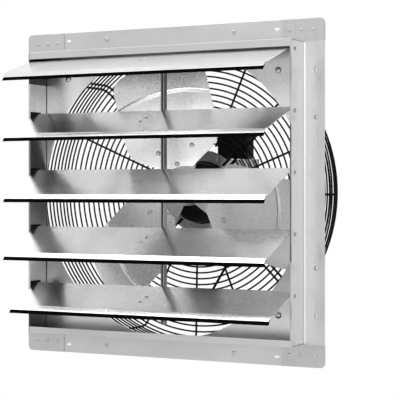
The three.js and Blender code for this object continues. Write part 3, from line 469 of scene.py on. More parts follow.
casting = grained_finish("casting", grey(0.36), grey(0.46), 1.0, (0.32, 0.45), 900.0, 0.15)
plating = grained_finish("plating", silver(0.42), silver(0.52), 1.0, (0.14, 0.22), 500.0, 0.04)
powder_coat = grained_finish(
    "powder_coat", grey(0.002), grey(0.004), 0.0, (0.42, 0.55), 1400.0, 0.15)
motor_paint = grained_finish(
    "motor_paint", grey(0.003), grey(0.006), 0.0, (0.42, 0.55), 1100.0, 0.20)
nylon = grained_finish("nylon", grey(0.004), grey(0.007), 0.0, (0.55, 0.65), 800.0, 0.12)
DARK_COAT_GLOSS = 0.12
for coat in (powder_coat, motor_paint, nylon):
    gloss = coat.node_tree.nodes["Principled BSDF"].inputs["Specular IOR Level"]
    gloss.default_value = DARK_COAT_GLOSS
print("finishes:", ", ".join(finishes))

# %% Felt finish
felt, felt_tree, felt_shader = new_finish("felt", {"Roughness": 1.0, "Specular IOR Level": 0.0})
fibres = grain(felt_tree, 1800.0, 4.0, (0.3, 1.0, 1.0))
tint(felt_tree, felt_shader, fibres, grey(0.001), grey(0.005))
relief(felt_tree, felt_shader, fibres, 0.6, 0.0006)
print("finishes with the felt:", len(finishes))

# %% [markdown]
# ## Ways to make a mesh
#
# Most of the fine pieces are of two kinds. A wire or a rod is a round section carried along a
# route. A rivet, a pin end or a motor shell is a profile turned about an axis. Both return plain
# points and faces, so that many of them can go into one piece.


# %% Helpers for meshes
def piece_from(name, shapes, material, body, smooth_angle=40.0):
    """One object from several (points, faces) shapes. It rides on a CAD body."""
    points, faces = [], []
    for shape_points, shape_faces in shapes:
        start = len(points)
        points += [tuple(p) for p in shape_points]
        faces += [tuple(start + i for i in face) for face in shape_faces]
    mesh = bpy.data.meshes.new(name)
    mesh.from_pydata(points, [], faces)
    mesh.validate()
    mesh.materials.append(material)
    mesh.shade_smooth()
    mesh.set_sharp_from_angle(angle=math.radians(smooth_angle))
    obj = bpy.data.objects.new(name, mesh)
    scene.collection.objects.link(obj)
    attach(obj, body)
    return obj


def ring_faces(count, sides, closed):
    """Quads between neighbouring rings of points."""
    faces = []
    for i in range(count if closed else count - 1):
        for j in range(sides):
            a, b = i * sides, ((i + 1) % count) * sides
            k = (j + 1) % sides
            faces.append((a + j, a + k, b + k, b + j))
    return faces


def wire(route, radius, sides=10, closed=False):
    """A round wire along a route, with a flat cap at each open end."""
    count = len(route)
    route = [Vector(p) for p in route]
    points = []
    across = None
    for i, here in enumerate(route):
        before = route[i - 1] if closed or i else here
        after = route[(i + 1) % count] if closed or i < count - 1 else here
        along = (after - before).normalized()
        if across is None:
            across = along.orthogonal().normalized()
        across = (across - along * across.dot(along)).normalized()
        up = along.cross(across)
        for j in range(sides):
            turn = 2.0 * math.pi * j / sides
            points.append(here + (across * math.cos(turn) + up * math.sin(turn)) * radius)
    faces = ring_faces(count, sides, closed)
    if not closed:
        faces.append(tuple(reversed(range(sides))))
        faces.append(tuple((count - 1) * sides + j for j in range(sides)))
    return points, faces


def lathe(profile, segments=64, axis=Matrix.Identity(4)):
    """A profile of (radius, height), turned about Z and placed by a matrix."""
    points, faces, rings = [], [], []
    for radius, height in profile:
        if radius == 0.0:
            rings.append([len(points)])
            points.append(axis @ Vector((0.0, 0.0, height)))
            continue
        rings.append([len(points) + j for j in range(segments)])
        for j in range(segments):
            turn = 2.0 * math.pi * j / segments
            points.append(axis @ Vector((radius * math.cos(turn), radius * math.sin(turn), height)))
    for low, high in zip(rings, rings[1:]):
        for j in range(segments):
            k = (j + 1) % segments
            if len(low) == 1:
                faces.append((low[0], high[k], high[j]))
            elif len(high) == 1:
                faces.append((low[j], low[k], high[0]))
            else:
                faces.append((low[j], low[k], high[k], high[j]))
    return points, faces


def facing(place, normal):
    """A matrix that stands a lathe's axis on a place, along a normal."""
    turn = Vector(normal).to_track_quat("Z", "Y").to_matrix().to_4x4()
    return Matrix.Translation(Vector(place)) @ turn


def rivet(place, normal, radius, height, sunk=0.0003):
    """A domed rivet head that stands on a sheet, with its foot slightly in the sheet."""
    steps = 5
    profile = [(0.0, -sunk), (radius * 0.92, -sunk), (radius, height * 0.15)]
    for i in range(1, steps):
        turn = math.pi / 2.0 * i / steps
        profile.append((radius * math.cos(turn), height * (0.15 + 0.85 * math.sin(turn))))
    profile.append((0.0, height))
    return lathe(profile, 20, facing(place, normal))


# %% [markdown]
# ## The sheet-metal frame
#
# The four bent members, the flat fan panel, the louvres, their brackets and the tie bar come from
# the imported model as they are, because their sheet is straight there too. They only get a finish.
# The side members are cut from the sheet the other way, so their rolling lines run upright.


# %% Finish the flat pieces of the model
finished = []


def finish_node(name, material):
    """Gives a finish to a piece of the model and leaves its mesh as it is."""
    obj = nodes[name]
    obj.data.materials.clear()
    obj.data.materials.append(material)
    finished.append(name)


for name in ("frame_top", "frame_bottom"):
    finish_node(name, flat_sheet)
finish_node("fan_panel", panel_sheet)
finish_node("frame_left", left_sheet)
finish_node("frame_right", right_sheet)
finish_node("tie_bar", bar_sheet)
LOUVRES = 5
for number in range(1, LOUVRES + 1):
    finish_node(f"louvre_{number}", louvre_sheet if number > 1 else shaded_top_louvre_sheet)
    finish_node(f"louvre_bracket_{number}", plating)
print("finished nodes:", len(finished))

# %% [markdown]
# ## Rivets and screws of the frame
#
# Three small rivets hold each corner tab of the side members to the top and bottom flange. Two
# larger rivets sit further along each flange. They are single domes, sunk a little in the sheet.

# %% Rivet the corners and the flanges
SIDE_FRONT = -2.7 * MM
FLAT_FRONT = -1.2 * MM
TAB_RIVETS = (270.0, 248.5, 227.0)
TAB_RIVET_UP = 271.0
FLAT_RIVET = (124.5, 274.0)
SIDE_RIVET = (274.8, 125.0)
FORWARD = (0, -1, 0)
corners = [(side, up) for side in (-1, 1) for up in (-1, 1)]
corner_rivets, flange_rivets = [], []
for side, up in corners:
    for across in TAB_RIVETS:
        place = (side * across * MM, SIDE_FRONT, up * TAB_RIVET_UP * MM)
        corner_rivets.append(rivet(place, FORWARD, 3.0 * MM, 1.5 * MM))
    for (across, rise), front in ((FLAT_RIVET, FLAT_FRONT), (SIDE_RIVET, SIDE_FRONT)):
        place = (side * across * MM, front, up * rise * MM)
        flange_rivets.append(rivet(place, FORWARD, 3.8 * MM, 1.8 * MM))
piece_from("corner_rivets", corner_rivets, plating, "housing")
piece_from("flange_rivets", flange_rivets, plating, "housing")
print("rivets:", len(corner_rivets) + len(flange_rivets))

# %% [markdown]
# ## The round of the bend
#
# Bent sheet isn't sharp inside the bend. Between each side wall and its flange runs a hollow
# round, which gathers light into a thin bright line over the whole height. Its finish is also
# much paler than the walls' sheet, which paints a highlight along that line. It is a strip whose
# section is the corner less a quarter circle.

# %% Fill the bends
BEND = 1.6
BEND_FOOT = 0.2
BEND_HALF = 250.5
BEND_STEPS = 8
WALL_OUTSIDE = 254.0
for name, side in (("bend_left", -1), ("bend_right", 1)):
    section = [(WALL_OUTSIDE - BEND_FOOT, SIDE_FRONT / MM + BEND_FOOT)]
    centre = (WALL_OUTSIDE + BEND, SIDE_FRONT / MM - BEND)
    for i in range(BEND_STEPS + 1):
        turn = math.radians(180.0 - 90.0 * i / BEND_STEPS)
        section.append((centre[0] + BEND * math.cos(turn), centre[1] + BEND * math.sin(turn)))
    points = [(side * x * MM, y * MM, z * MM) for z in (-BEND_HALF, BEND_HALF) for x, y in section]
    around = len(section)
    ends = [tuple(reversed(range(around))), tuple(around + j for j in range(around))]
    faces = ring_faces(2, around, False) + ends
    if side < 0:
        faces = [tuple(reversed(face)) for face in faces]
    piece_from(name, [(points, faces)], bend_highlight_sheet, "housing", 50.0)
print("bend radius:", BEND, "mm")

# %% [markdown]
# ## The louvre seals
#
# Behind each louvre's lip is a strip of black felt that shows a few millimetres below the lip
# and closes on the next louvre. Felt has no sharp edges and isn't quite straight, so the strip
# is a rounded section that wanders a little along its length. It stands for the model's strip.

# %% Make the seals
STRIP_STEPS = 90
STRIP_SIDES = 12
STRIP_WANDER = 0.15
random.seed(7)


def felt_strip(number):
    """A soft strip in the space of the model's seal, along its slanted section."""
    seal = nodes[f"louvre_seal_{number}"]
    corners = [v.co.copy() for v in seal.data.vertices]
    end = min(c.x for c in corners)
    section = sorted({(round(c.y, 6), round(c.z, 6)) for c in corners if c.x < end + MM})
    count = len(section)
    middle = Vector((0.0, sum(p[0] for p in section) / count, sum(p[1] for p in section) / count))
    pairs = [(Vector((0.0, *a)), Vector((0.0, *b))) for a in section for b in section]
    falling = [b - a for a, b in pairs if (b - a).length > 0.5 * MM and b.z < a.z]
    sides = sorted((side.length, side) for side in falling)
    short, long_side = sides[0][1], sides[2][1]
    half_short = short.length / 2.0
    half_long = sides[2][0] / 2.0
    down = long_side.normalized()
    through = Vector((1.0, 0.0, 0.0)).cross(down)
    points = []
    wander = [random.uniform(-1.0, 1.0) for _ in range(STRIP_STEPS + 1)]
    for i in range(STRIP_STEPS + 1):
        x = end + (-2.0 * end) * i / STRIP_STEPS
        for j in range(STRIP_SIDES):
            turn = 2.0 * math.pi * j / STRIP_SIDES
            c, s = math.cos(turn), math.sin(turn)
            out = math.copysign(abs(c) ** 0.45, c) * half_long
            wide = math.copysign(abs(s) ** 0.6, s) * half_short
            if c > 0.3:
                out += STRIP_WANDER * MM * wander[i]
            points.append(Vector((x, middle.y, middle.z)) + down * out + through * wide)
    faces = ring_faces(STRIP_STEPS + 1, STRIP_SIDES, False)
    faces.append(tuple(reversed(range(STRIP_SIDES))))
    faces.append(tuple(STRIP_STEPS * STRIP_SIDES + j for j in range(STRIP_SIDES)))
    strip = piece_from(
        f"felt_strip_{number}", [(points, faces)], felt, f"shutter_{number}", 60.0)
    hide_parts(f"louvre_seal_{number}")


for number in range(1, LOUVRES + 1):
    felt_strip(number)
print("felt strips:", LOUVRES)

# %% [markdown]
# ## The panel bolts and the pin ends
#
# Four round-headed bolts hold the motor rods to the panel. Each has a low dome without a slot on
# this side, and a hexagon nut behind. The louvre pins end in small domes that stand out of
# the side walls. All are turned profiles, because light on a dome is what makes it look like metal.


# %% Helpers for bolts
def placed(x, y, z):
    """A place in the frame from millimetres."""
    return Vector((x * MM, y * MM, z * MM))


def dome(radius, height, foot, steps=8):
    """The profile of a dome from its foot up to its top."""
    profile = []
    for i in range(steps):
        turn = math.pi / 2.0 * i / steps
        profile.append((radius * math.cos(turn), foot + height * math.sin(turn)))
    profile.append((0.0, foot + height))
    return profile


def hexagon(radius, low, high, axis):
    """A nut with its corners turned off a little."""
    points = []
    edge = 0.12 * (high - low)
    for share, level in ((0.93, low), (1.0, low + edge), (1.0, high - edge), (0.93, high)):
        for j in range(6):
            turn = math.pi / 3.0 * j
            reach = radius * share
            points.append(axis @ Vector((reach * math.cos(turn), reach * math.sin(turn), level)))
    faces = ring_faces(4, 6, False)
    faces.append(tuple(reversed(range(6))))
    faces.append(tuple(18 + j for j in range(6)))
    return points, faces


# %% Turn the panel bolts
GUARD_RIM = 272.0
BOLT_CIRCLE = GUARD_RIM + 19.3
BOLT_PLACE = BOLT_CIRCLE * math.cos(math.pi / 4.0)
BOLT_HEAD = 5.5
BOLT_FOOT = 5.2
NUT_FRONT = 6.3
HEAD_PROFILE = [(0.0, 0.0), (BOLT_FOOT * MM, 0.0), (BOLT_HEAD * MM, 0.5 * MM)]
HEAD_PROFILE += dome(BOLT_HEAD * MM, 3.1 * MM, 0.5 * MM)[1:]
SHANK_PROFILE = [
    (0.0, -6.0 * MM), (2.5 * MM, -6.0 * MM), (2.5 * MM, 7.0 * MM), (1.9 * MM, 7.5 * MM),
    (0.0, 7.5 * MM)]
BOLT_CORNERS = ((1, 1), (-1, 1), (-1, -1), (1, -1))
for number, (side, up) in enumerate(BOLT_CORNERS, start=1):
    across, rise = side * BOLT_PLACE, up * BOLT_PLACE
    stand = facing(placed(across, 0.0, rise), FORWARD)
    back = facing(placed(across, NUT_FRONT, rise), (0, 1, 0))
    head = lathe(HEAD_PROFILE, 32, stand)
    nut = hexagon(5.4 * MM, 0.1 * MM, 4.6 * MM, back)
    shank = lathe(SHANK_PROFILE, 20, back)
    bolt = piece_from(
        f"round_bolt_{number}", [head, nut, shank], plating, "housing", 35.0)
    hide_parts(f"panel_bolt_{number}")
print("bolts:", len(BOLT_CORNERS))

# %% Put domes on the pin ends
PIVOT_Y = -43.8
PIVOT_TOP = 235.9
PIVOT_STEP = 101.3
PIN_STAND = 254.3
PIN_PROFILE = [(0.0, 0.0), (3.2 * MM, 0.0)] + dome(3.4 * MM, 1.5 * MM, 0.2 * MM)
pivots = [PIVOT_TOP - PIVOT_STEP * i for i in range(LOUVRES)]
for number, height in enumerate(pivots, start=1):
    ends = []
    for side in (-1, 1):
        stand = facing(placed(side * PIN_STAND, PIVOT_Y, height), (side, 0, 0))
        ends.append(lathe(PIN_PROFILE, 24, stand))
    piece_from(f"pin_end_{number}", ends, plating, f"shutter_{number}")
print("pin ends:", 2 * LOUVRES)

# %% [markdown]
# ## The bearings, and the rivets of the brackets
#
# The bearing plates are black nylon and keep the model's shape. On top of each louvre sit two
# small rivets, which hold the bracket below it. They are placed on the louvre's own slope, so
# they turn with it.

# %% Finish the bearings and rivet the brackets
OPEN_ANGLES = (18.1, 20.0, 22.1, 21.5, 21.1)
LOUVRE_TOP = 4.2
BRACKET_RIVETS = ((-4.5, 33.0), (-6.0, 53.0))
for side in ("left", "right"):
    for number in range(1, LOUVRES + 1):
        finish_node(f"bearing_{side}_{number}", nylon)


def on_louvre(number, x, along):
    """A place in the room from a place on top of a louvre's sheet."""
    turn = math.radians(OPEN_ANGLES[number - 1])
    y = -along * math.cos(turn) - LOUVRE_TOP * math.sin(turn)
    z = -along * math.sin(turn) + LOUVRE_TOP * math.cos(turn)
    return placed(x, PIVOT_Y + y, pivots[number - 1] + z)


for number in range(1, LOUVRES + 1):
    turn = math.radians(OPEN_ANGLES[number - 1])
    normal = (0.0, -math.sin(turn), math.cos(turn))
    studs = [
        rivet(on_louvre(number, x, along), normal, 3.0 * MM, 1.1 * MM)
        for x, along in BRACKET_RIVETS]
    piece_from(f"bracket_rivets_{number}", studs, plating, f"shutter_{number}")
print("bracket rivets:", len(BRACKET_RIVETS) * LOUVRES)

# %% [markdown]
# ## The fan blades
#
# A blade is one pressed plate. It leans by its pitch angle, has a shallow hollow towards the
# front, and a bead is pressed in along an arc near the tip to stiffen it. A grid of points whose
# rows follow arcs about the fan axis gives all this in one step: each point gets its height from
# the pitch, the hollow and the bead. The same law shapes the imported model, with fewer points.
# The blade on the right gets a darker copy of the blade finish, which paints shade on it.

# %% Give the blade its outline and its height
BLADES = 3
FIRST_BLADE = 104.0
TIP = 238.0
HALF_WIDTH = 80.0
TIP_CORNER = 30.0
ROOT = 48.0
ROOT_HALF_WIDTH = 21.0
SHOULDER = 112.0
SHOULDER_ROUND = 8.0
BLADE_SHEET = 1.5
PITCH = math.radians(20.6)
HOLLOW = 8.0
MIDDLE = 58.5
BEAD = TIP - 52.0
BEAD_HALF = 4.0
BEAD_RISE = 1.8


def blade_half_angle(radius):
    """Half the blade's width at a radius, as an angle about the fan axis."""
    corner_across = HALF_WIDTH - TIP_CORNER
    corner_reach = TIP - TIP_CORNER
    corner_along = math.sqrt(corner_reach ** 2 - corner_across ** 2)
    if radius > math.hypot(corner_along, HALF_WIDTH):
        squares = radius ** 2 + corner_reach ** 2 - TIP_CORNER ** 2
        cosine = squares / (2.0 * corner_reach * radius)
        return math.atan2(corner_across, corner_along) + math.acos(min(cosine, 1.0))
    taper = ROOT_HALF_WIDTH + (HALF_WIDTH - ROOT_HALF_WIDTH) / (SHOULDER - ROOT) * (radius - ROOT)
    rounding = SHOULDER_ROUND * math.log(1.0 + math.exp((taper - HALF_WIDTH) / SHOULDER_ROUND))
    return math.asin((taper - rounding) / radius)


def blade_height(across):
    """How far back the blade's middle plane lies, from its lean and its hollow."""
    return MIDDLE + across * math.tan(PITCH) + HOLLOW * (1.0 - (across / HALF_WIDTH) ** 2)


def bead_height(radius):
    """A smooth ridge that stands to the front."""
    away = abs(radius - BEAD) / BEAD_HALF
    return BEAD_RISE * (0.5 + 0.5 * math.cos(math.pi * away)) if away < 1.0 else 0.0


print("blade width at its bead:", round(2.0 * BEAD * math.sin(blade_half_angle(BEAD)), 1), "mm")


# %% Helper for pressed plates
def pressed_plate(radii, half_angle, columns, thickness, height, turn):
    """A closed curved plate, turned about the fan axis."""
    rows = len(radii)
    points = []
    for face in (-0.5, 0.5):
        for radius in radii:
            for j in range(columns + 1):
                angle = (2.0 * j / columns - 1.0) * half_angle(radius)
                y = height(radius, -radius * math.sin(angle)) + face * thickness
                x, z = radius * math.cos(angle + turn), radius * math.sin(angle + turn)
                points.append(placed(x, y, z))
    across = columns + 1
    layer = rows * across
    faces = []
    for i in range(rows - 1):
        for j in range(columns):
            a = i * across + j
            faces.append((a, a + across, a + across + 1, a + 1))
            faces.append(tuple(layer + v for v in (a, a + 1, a + across + 1, a + across)))
    for i in range(rows - 1):
        for a in (i * across, i * across + columns):
            quad = (a, a + across, a + across + layer, a + layer)
            faces.append(quad if a % across else tuple(reversed(quad)))
    for j in range(columns):
        for a in (j, (rows - 1) * across + j):
            quad = (a, a + 1, a + 1 + layer, a + layer)
            faces.append(quad if a < across else tuple(reversed(quad)))
    return points, faces


# %% Press the blades
BLADE_ROWS = 44
BLADE_COLUMNS = 36
SHADED_BLADE = 2


def blade_rows():
    """Radii that lie close together where the outline or the bead turns quickly."""
    rows = [ROOT + (TIP - ROOT) * i / BLADE_ROWS for i in range(BLADE_ROWS + 1)]
    rows += [BEAD + step for step in range(-4, 5)]
    rows += [TIP - step for step in (0.4, 1.0, 2.0, 3.2)]
    return sorted(set(rows))


def pressed_height(radius, across):
    return blade_height(across) - bead_height(radius)


for number in range(1, BLADES + 1):
    turn = math.radians(FIRST_BLADE - (number - 1) * 360.0 / BLADES)
    shape = pressed_plate(
        blade_rows(), blade_half_angle, BLADE_COLUMNS, BLADE_SHEET, pressed_height, turn)
    # The blade on the right gets the darker copy, which paints shade on it.
    coat = shaded_blade_sheet if number == SHADED_BLADE else blade_sheet
    blade = piece_from(f"pressed_blade_{number}", [shape], coat, "rotor", 50.0)
    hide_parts(f"blade_{number}")
print("blades:", BLADES, "points each:", len(shape[0]))

# %% [markdown]
# ## The hub
#
# A turned boss carries three arms that widen outwards and lie behind the blades' roots. Three
# domed rivets hold each blade to its arm, one near the boss and two further out. They sit on the
# sloping face of the blade, so their direction follows its lean there.

# %% Make the boss and the arms
HUB_RADIUS = 24.0
HUB_FRONT = 48.0
HUB_BACK = 86.0
HUB_EDGE = 1.5
ARM_SHEET = 2.5
ARM_INNER = 20.0
ARM_WIDEST = 90.0
ARM_OUTER = 98.0
ARM_ROOT_HALF = 14.0
ARM_WIDEST_HALF = 40.0
ARM_END_HALF = 30.0
ARM_ROWS = 18
ARM_COLUMNS = 16
ARM_GAP = 0.3


def arm_half_angle(radius):
    """Half the arm's width at a radius, as an angle. It widens, and draws in at its end."""
    share = (min(radius, ARM_WIDEST) - ARM_INNER) / (ARM_WIDEST - ARM_INNER)
    wide = ARM_ROOT_HALF + (ARM_WIDEST_HALF - ARM_ROOT_HALF) * share
    end_share = max(radius - ARM_WIDEST, 0.0) / (ARM_OUTER - ARM_WIDEST)
    return math.asin((wide - (wide - ARM_END_HALF) * end_share ** 2) / radius)


def arm_height(radius, across):
    """An arm follows its blade from behind, with a small gap between the two sheets."""
    return blade_height(across) + BLADE_SHEET / 2.0 + ARM_GAP + ARM_SHEET / 2.0


fan_axis = facing((0.0, 0.0, 0.0), (0, 1, 0))
boss_profile = [
    (0.0, HUB_FRONT), (HUB_RADIUS - HUB_EDGE, HUB_FRONT), (HUB_RADIUS, HUB_FRONT + HUB_EDGE),
    (HUB_RADIUS, HUB_BACK - HUB_EDGE), (HUB_RADIUS - HUB_EDGE, HUB_BACK), (0.0, HUB_BACK)]
boss = lathe([(radius * MM, y * MM) for radius, y in boss_profile], 64, fan_axis)
arm_rows = [ARM_INNER + (ARM_WIDEST - ARM_INNER) * i / ARM_ROWS for i in range(ARM_ROWS + 1)]
arm_rows += [91.0, 92.5, 94.0, 95.5, 97.0, ARM_OUTER]
arms = []
for number in range(BLADES):
    turn = math.radians(FIRST_BLADE - number * 360.0 / BLADES)
    arms.append(
        pressed_plate(arm_rows, arm_half_angle, ARM_COLUMNS, ARM_SHEET, arm_height, turn))
hub = piece_from("cast_hub", [boss, *arms], casting, "rotor", 40.0)
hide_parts("fan_hub")
print("hub points:", len(hub.data.vertices))

# %% Turn the shaft
# Each pair of a turned profile is a radius and a distance along the axis, here in metres.
shaft_profile = [
    (0.0, 0.042), (0.0055, 0.042), (0.0063, 0.0428), (0.0063, 0.1292), (0.0, 0.1292)]
shaft = piece_from(
    "turned_shaft", [lathe(shaft_profile, 32, fan_axis)], plating, "rotor")
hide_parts("fan_shaft")
print("shaft points:", len(shaft.data.vertices))

# %% Rivet the blades to the arms
BLADE_RIVETS = ((54.0, 108.0), (86.0, 125.0), (86.0, 85.0))
blade_rivets = []
for number in range(BLADES):
    for radius, angle in BLADE_RIVETS:
        middle = math.radians(FIRST_BLADE - number * 360.0 / BLADES)
        turn = math.radians(angle - number * 360.0 / BLADES)
        across = -radius * math.sin(turn - middle)
        slope = math.tan(PITCH) - 2.0 * HOLLOW * across / HALF_WIDTH ** 2
        tangent = Vector((math.sin(middle), 0.0, -math.cos(middle)))
        normal = Vector((0.0, -1.0, 0.0)) + tangent * slope
        y = blade_height(across) - BLADE_SHEET / 2.0
        place = placed(radius * math.cos(turn), y, radius * math.sin(turn))
        blade_rivets.append(rivet(place, normal, 4.6 * MM, 2.4 * MM))
piece_from("blade_rivets", blade_rivets, plating, "rotor")
print("blade rivets:", len(blade_rivets))

# %% [markdown]
# ## The wire guard
#
# The guard is welded from wire: 28 rings, which lie closer together on the back than on the side,
# twelve spokes that run inside them, and one short brace low on the back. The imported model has
# about every third ring. The finer guard needs only two routes, a ring and a spoke, and the
# profile that both follow.

# %% Follow the guard's profile
GUARD_SIDE_RADIUS = 274.5
GUARD_BACK = 125.5
GUARD_CORNER = 16.0
RIM_Y = 4.0
GUARD_MIDDLE = (-3.5, 0.5)
SIDE_RINGS = 8
SIDE_RING_FIRST, SIDE_RING_STEP = 14.0, 12.0
BACK_RINGS = 16
BACK_RING_FIRST, BACK_RING_STEP = 255.8, 10.8


def side_radius(y):
    """The guard narrows by 1 mm in 100 mm on its way back."""
    return GUARD_SIDE_RADIUS - y / 100.0


def corner_point(degrees, offset=0.0):
    """A point on the rounded edge between the guard's side and back, as radius and Y."""
    turn = math.radians(degrees)
    reach = GUARD_CORNER + offset
    edge = GUARD_BACK - GUARD_CORNER
    middle = side_radius(edge) - GUARD_CORNER
    return (middle + reach * math.cos(turn), edge + reach * math.sin(turn))


ring_places = [(side_radius(RIM_Y), RIM_Y)]
side_places = [SIDE_RING_FIRST + SIDE_RING_STEP * i for i in range(SIDE_RINGS)]
ring_places += [(side_radius(y), y) for y in side_places]
ring_places += [corner_point(degrees) for degrees in (0.0, 33.0, 60.0)]
ring_places += [
    (BACK_RING_FIRST - BACK_RING_STEP * i, GUARD_BACK) for i in range(BACK_RINGS)]
print("guard rings:", len(ring_places))


# %% Weld the guard
def outward(profile, turn):
    """The points of a profile, stood at an angle about the guard's middle."""
    across, up = GUARD_MIDDLE
    c, s = math.cos(turn), math.sin(turn)
    return [placed(across + radius * c, y, up + radius * s) for radius, y in profile]


def ring(radius, y, wire_radius, steps=120, sides=8):
    route = [outward([(radius, y)], 2.0 * math.pi * i / steps)[0] for i in range(steps)]
    return wire(route, wire_radius * MM, sides, closed=True)


RIM_WIRE = 2.2
RING_WIRE = 1.6
SPOKE_WIRE = 1.9
BRACE_WIRE = 2.4
SPOKE_LIFT = -2.6
SPOKE_TURN = -0.8
SPOKE_SLOTS = 16
SPOKE_END = 90.0
BRACE_ENDS = ((51.0, 129.0, -133.0), (-7.0, 129.0, -226.7))
rings = [
    ring(radius, y, RING_WIRE if i else RIM_WIRE) for i, (radius, y) in enumerate(ring_places)]
spoke_profile = [(side_radius(RIM_Y) + SPOKE_LIFT, RIM_Y - 1.0)]
spoke_profile += [corner_point(degrees, SPOKE_LIFT) for degrees in range(0, 91, 10)]
spoke_profile += [(SPOKE_END, GUARD_BACK + SPOKE_LIFT)]
spokes = []
for slot in range(SPOKE_SLOTS):
    # The motor rods run along the diagonals, so no spoke is there.
    if slot % 4 != 2:
        turn = math.radians(360.0 / SPOKE_SLOTS * slot + SPOKE_TURN)
        spokes.append(wire(outward(spoke_profile, turn), SPOKE_WIRE * MM, 10))
brace = wire([placed(*end) for end in BRACE_ENDS], BRACE_WIRE * MM, 10)
guard = piece_from(
    "welded_guard", [*rings, *spokes, brace], powder_coat, "housing", 60.0)
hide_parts("guard_front", "guard_side", "guard_back")
print("guard points:", len(guard.data.vertices))

# %% [markdown]
# ## The motor rods
#
# On each diagonal one steel rod is bent into a long loop. The loop goes round a panel bolt, and
# both of its legs run back outside the guard and inwards to the motor. A rod is drawn as a wire
# whose route has a small round at every bend.


# %% Bend the motor rods
ROD_RADIUS = 2.1
ROD_HALF_GAP = 5.0
ROD_SIDE = 281.2
ROD_BACK = 132.0
ROD_ROUND = 18.0
ROD_FOOT = 3.9
ROD_INNER = 64.0
RODS = 4


def rod_points(turn):
    """Down one leg, round the bolt and back along the other leg."""
    leg = [(ROD_INNER, ROD_BACK)]
    for degrees in (90, 70, 50, 30, 10, 0):
        a = math.radians(degrees)
        out = ROD_SIDE - ROD_ROUND + ROD_ROUND * math.cos(a)
        leg.append((out, ROD_BACK - ROD_ROUND + ROD_ROUND * math.sin(a)))
    leg += [(ROD_SIDE, ROD_FOOT + 5.0), (ROD_SIDE + 1.5, ROD_FOOT + 1.5)]
    leg.append((ROD_SIDE + 5.0, ROD_FOOT))
    radial = Vector((math.cos(turn), 0.0, math.sin(turn)))
    aside = Vector((-math.sin(turn), 0.0, math.cos(turn)))
    beside = aside * (ROD_HALF_GAP * MM)
    down = [radial * (radius * MM) + Vector((0.0, y * MM, 0.0)) - beside for radius, y in leg]
    loop = []
    foot = Vector((0.0, ROD_FOOT * MM, 0.0))
    for i in range(1, 12):
        a = -math.pi / 2.0 + math.pi * i / 12.0
        reach = (BOLT_CIRCLE + ROD_HALF_GAP * math.cos(a)) * MM
        loop.append(radial * reach + aside * (ROD_HALF_GAP * math.sin(a) * MM) + foot)
    back = [p + aside * (2.0 * ROD_HALF_GAP * MM) for p in reversed(down)]
    return down + loop + back


for number in range(1, RODS + 1):
    turn = math.radians(45.0 + 90.0 * (number - 1))
    bent = wire(rod_points(turn), ROD_RADIUS * MM, 12)
    rod = piece_from(f"bent_rod_{number}", [bent], powder_coat, "housing", 60.0)
    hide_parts(f"motor_rod_{number}")
print("rods:", RODS)

# %% [markdown]
# ## The motor
#
# The motor has a cast front bell with a stepped nose, a ribbed steel body and a rear bell with
# air slots. The front bell and the body are turned here, and the rear bell comes from the model,
# which has its slots. All three are painted black. Eight screws hold the bell to the ring plate
# that the rods carry.

# %% Turn the motor
bell_profile = [
    (0.0, 0.1062), (0.0142, 0.1062), (0.015, 0.107), (0.0175, 0.1112), (0.0500, 0.1112),
    (0.0535, 0.1126), (0.0550, 0.1162), (0.0550, 0.1362), (0.0556, 0.1372), (0.0752, 0.1372),
    (0.0760, 0.1380), (0.0760, 0.1404), (0.0752, 0.1412), (0.0, 0.1412)]
front_bell = lathe(bell_profile, 96, fan_axis)
bell = piece_from(
    "cast_front_bell", [front_bell], motor_paint, "housing", 35.0)
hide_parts("motor_front_bell")

body_profile = [(0.0, 0.1415), (0.0684, 0.1415), (0.0690, 0.1421)]
RIBS = 3
for rib in range(RIBS):
    y = 0.155 + 0.0135 * rib
    body_profile += [
        (0.0690, y - 0.0018), (0.0704, y - 0.0012), (0.0708, y), (0.0704, y + 0.0012),
        (0.0690, y + 0.0018)]
body_profile += [(0.0690, 0.1949), (0.0684, 0.1955), (0.0, 0.1955)]
turned_body = lathe(body_profile, 96, fan_axis)
shell = piece_from(
    "painted_motor_body", [turned_body], motor_paint, "housing", 35.0)
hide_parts("motor_body")
finish_node("motor_rear_bell", motor_paint)
finish_node("motor_plate", plating)
print("ribs on the body:", RIBS)

# %% Screw the motor to its plate
PLATE_SCREWS = 8
SCREW_CIRCLE = 67.0
PLATE_FRONT = 134.4
WASHER_PROFILE = [(0.0, -0.2 * MM), (5.4 * MM, -0.2 * MM), (5.4 * MM, 0.7 * MM), (0.0, 0.7 * MM)]
plate_screws = []
for slot in range(PLATE_SCREWS):
    turn = math.radians(22.5 + 45.0 * slot)
    across, up = SCREW_CIRCLE * math.cos(turn), SCREW_CIRCLE * math.sin(turn)
    stand = facing(placed(across, PLATE_FRONT, up), FORWARD)
    plate_screws.append(hexagon(4.4 * MM, -0.2 * MM, 2.6 * MM, stand))
    plate_screws.append(lathe(WASHER_PROFILE, 24, stand))
piece_from("plate_screws", plate_screws, plating, "housing", 35.0)
print("plate screws:", PLATE_SCREWS)

# %% [markdown]
# ## The wiring box
#
# A black pressed box beside the motor holds the wire joints. Its lid faces away from the room and
# has four screws. A box like this has rounded edges, which the model leaves sharp, so it is made
# here as a stack of outlines that draw in towards both faces.


# %% Make a slab with rounded edges
def rounded_outline(left, right, low, high, radius, steps=6):
    """Points of a rounded rectangle, each with its outward direction."""
    centres = (
        (right - radius, high - radius, 0), (left + radius, high - radius, 90),
        (left + radius, low + radius, 180), (right - radius, low + radius, 270))
    outline = []
    for x, z, start in centres:
        for i in range(steps + 1):
            turn = math.radians(start + 90.0 * i / steps)
            c, s = math.cos(turn), math.sin(turn)
            outline.append((x + radius * c, z + radius * s, c, s))
    return outline


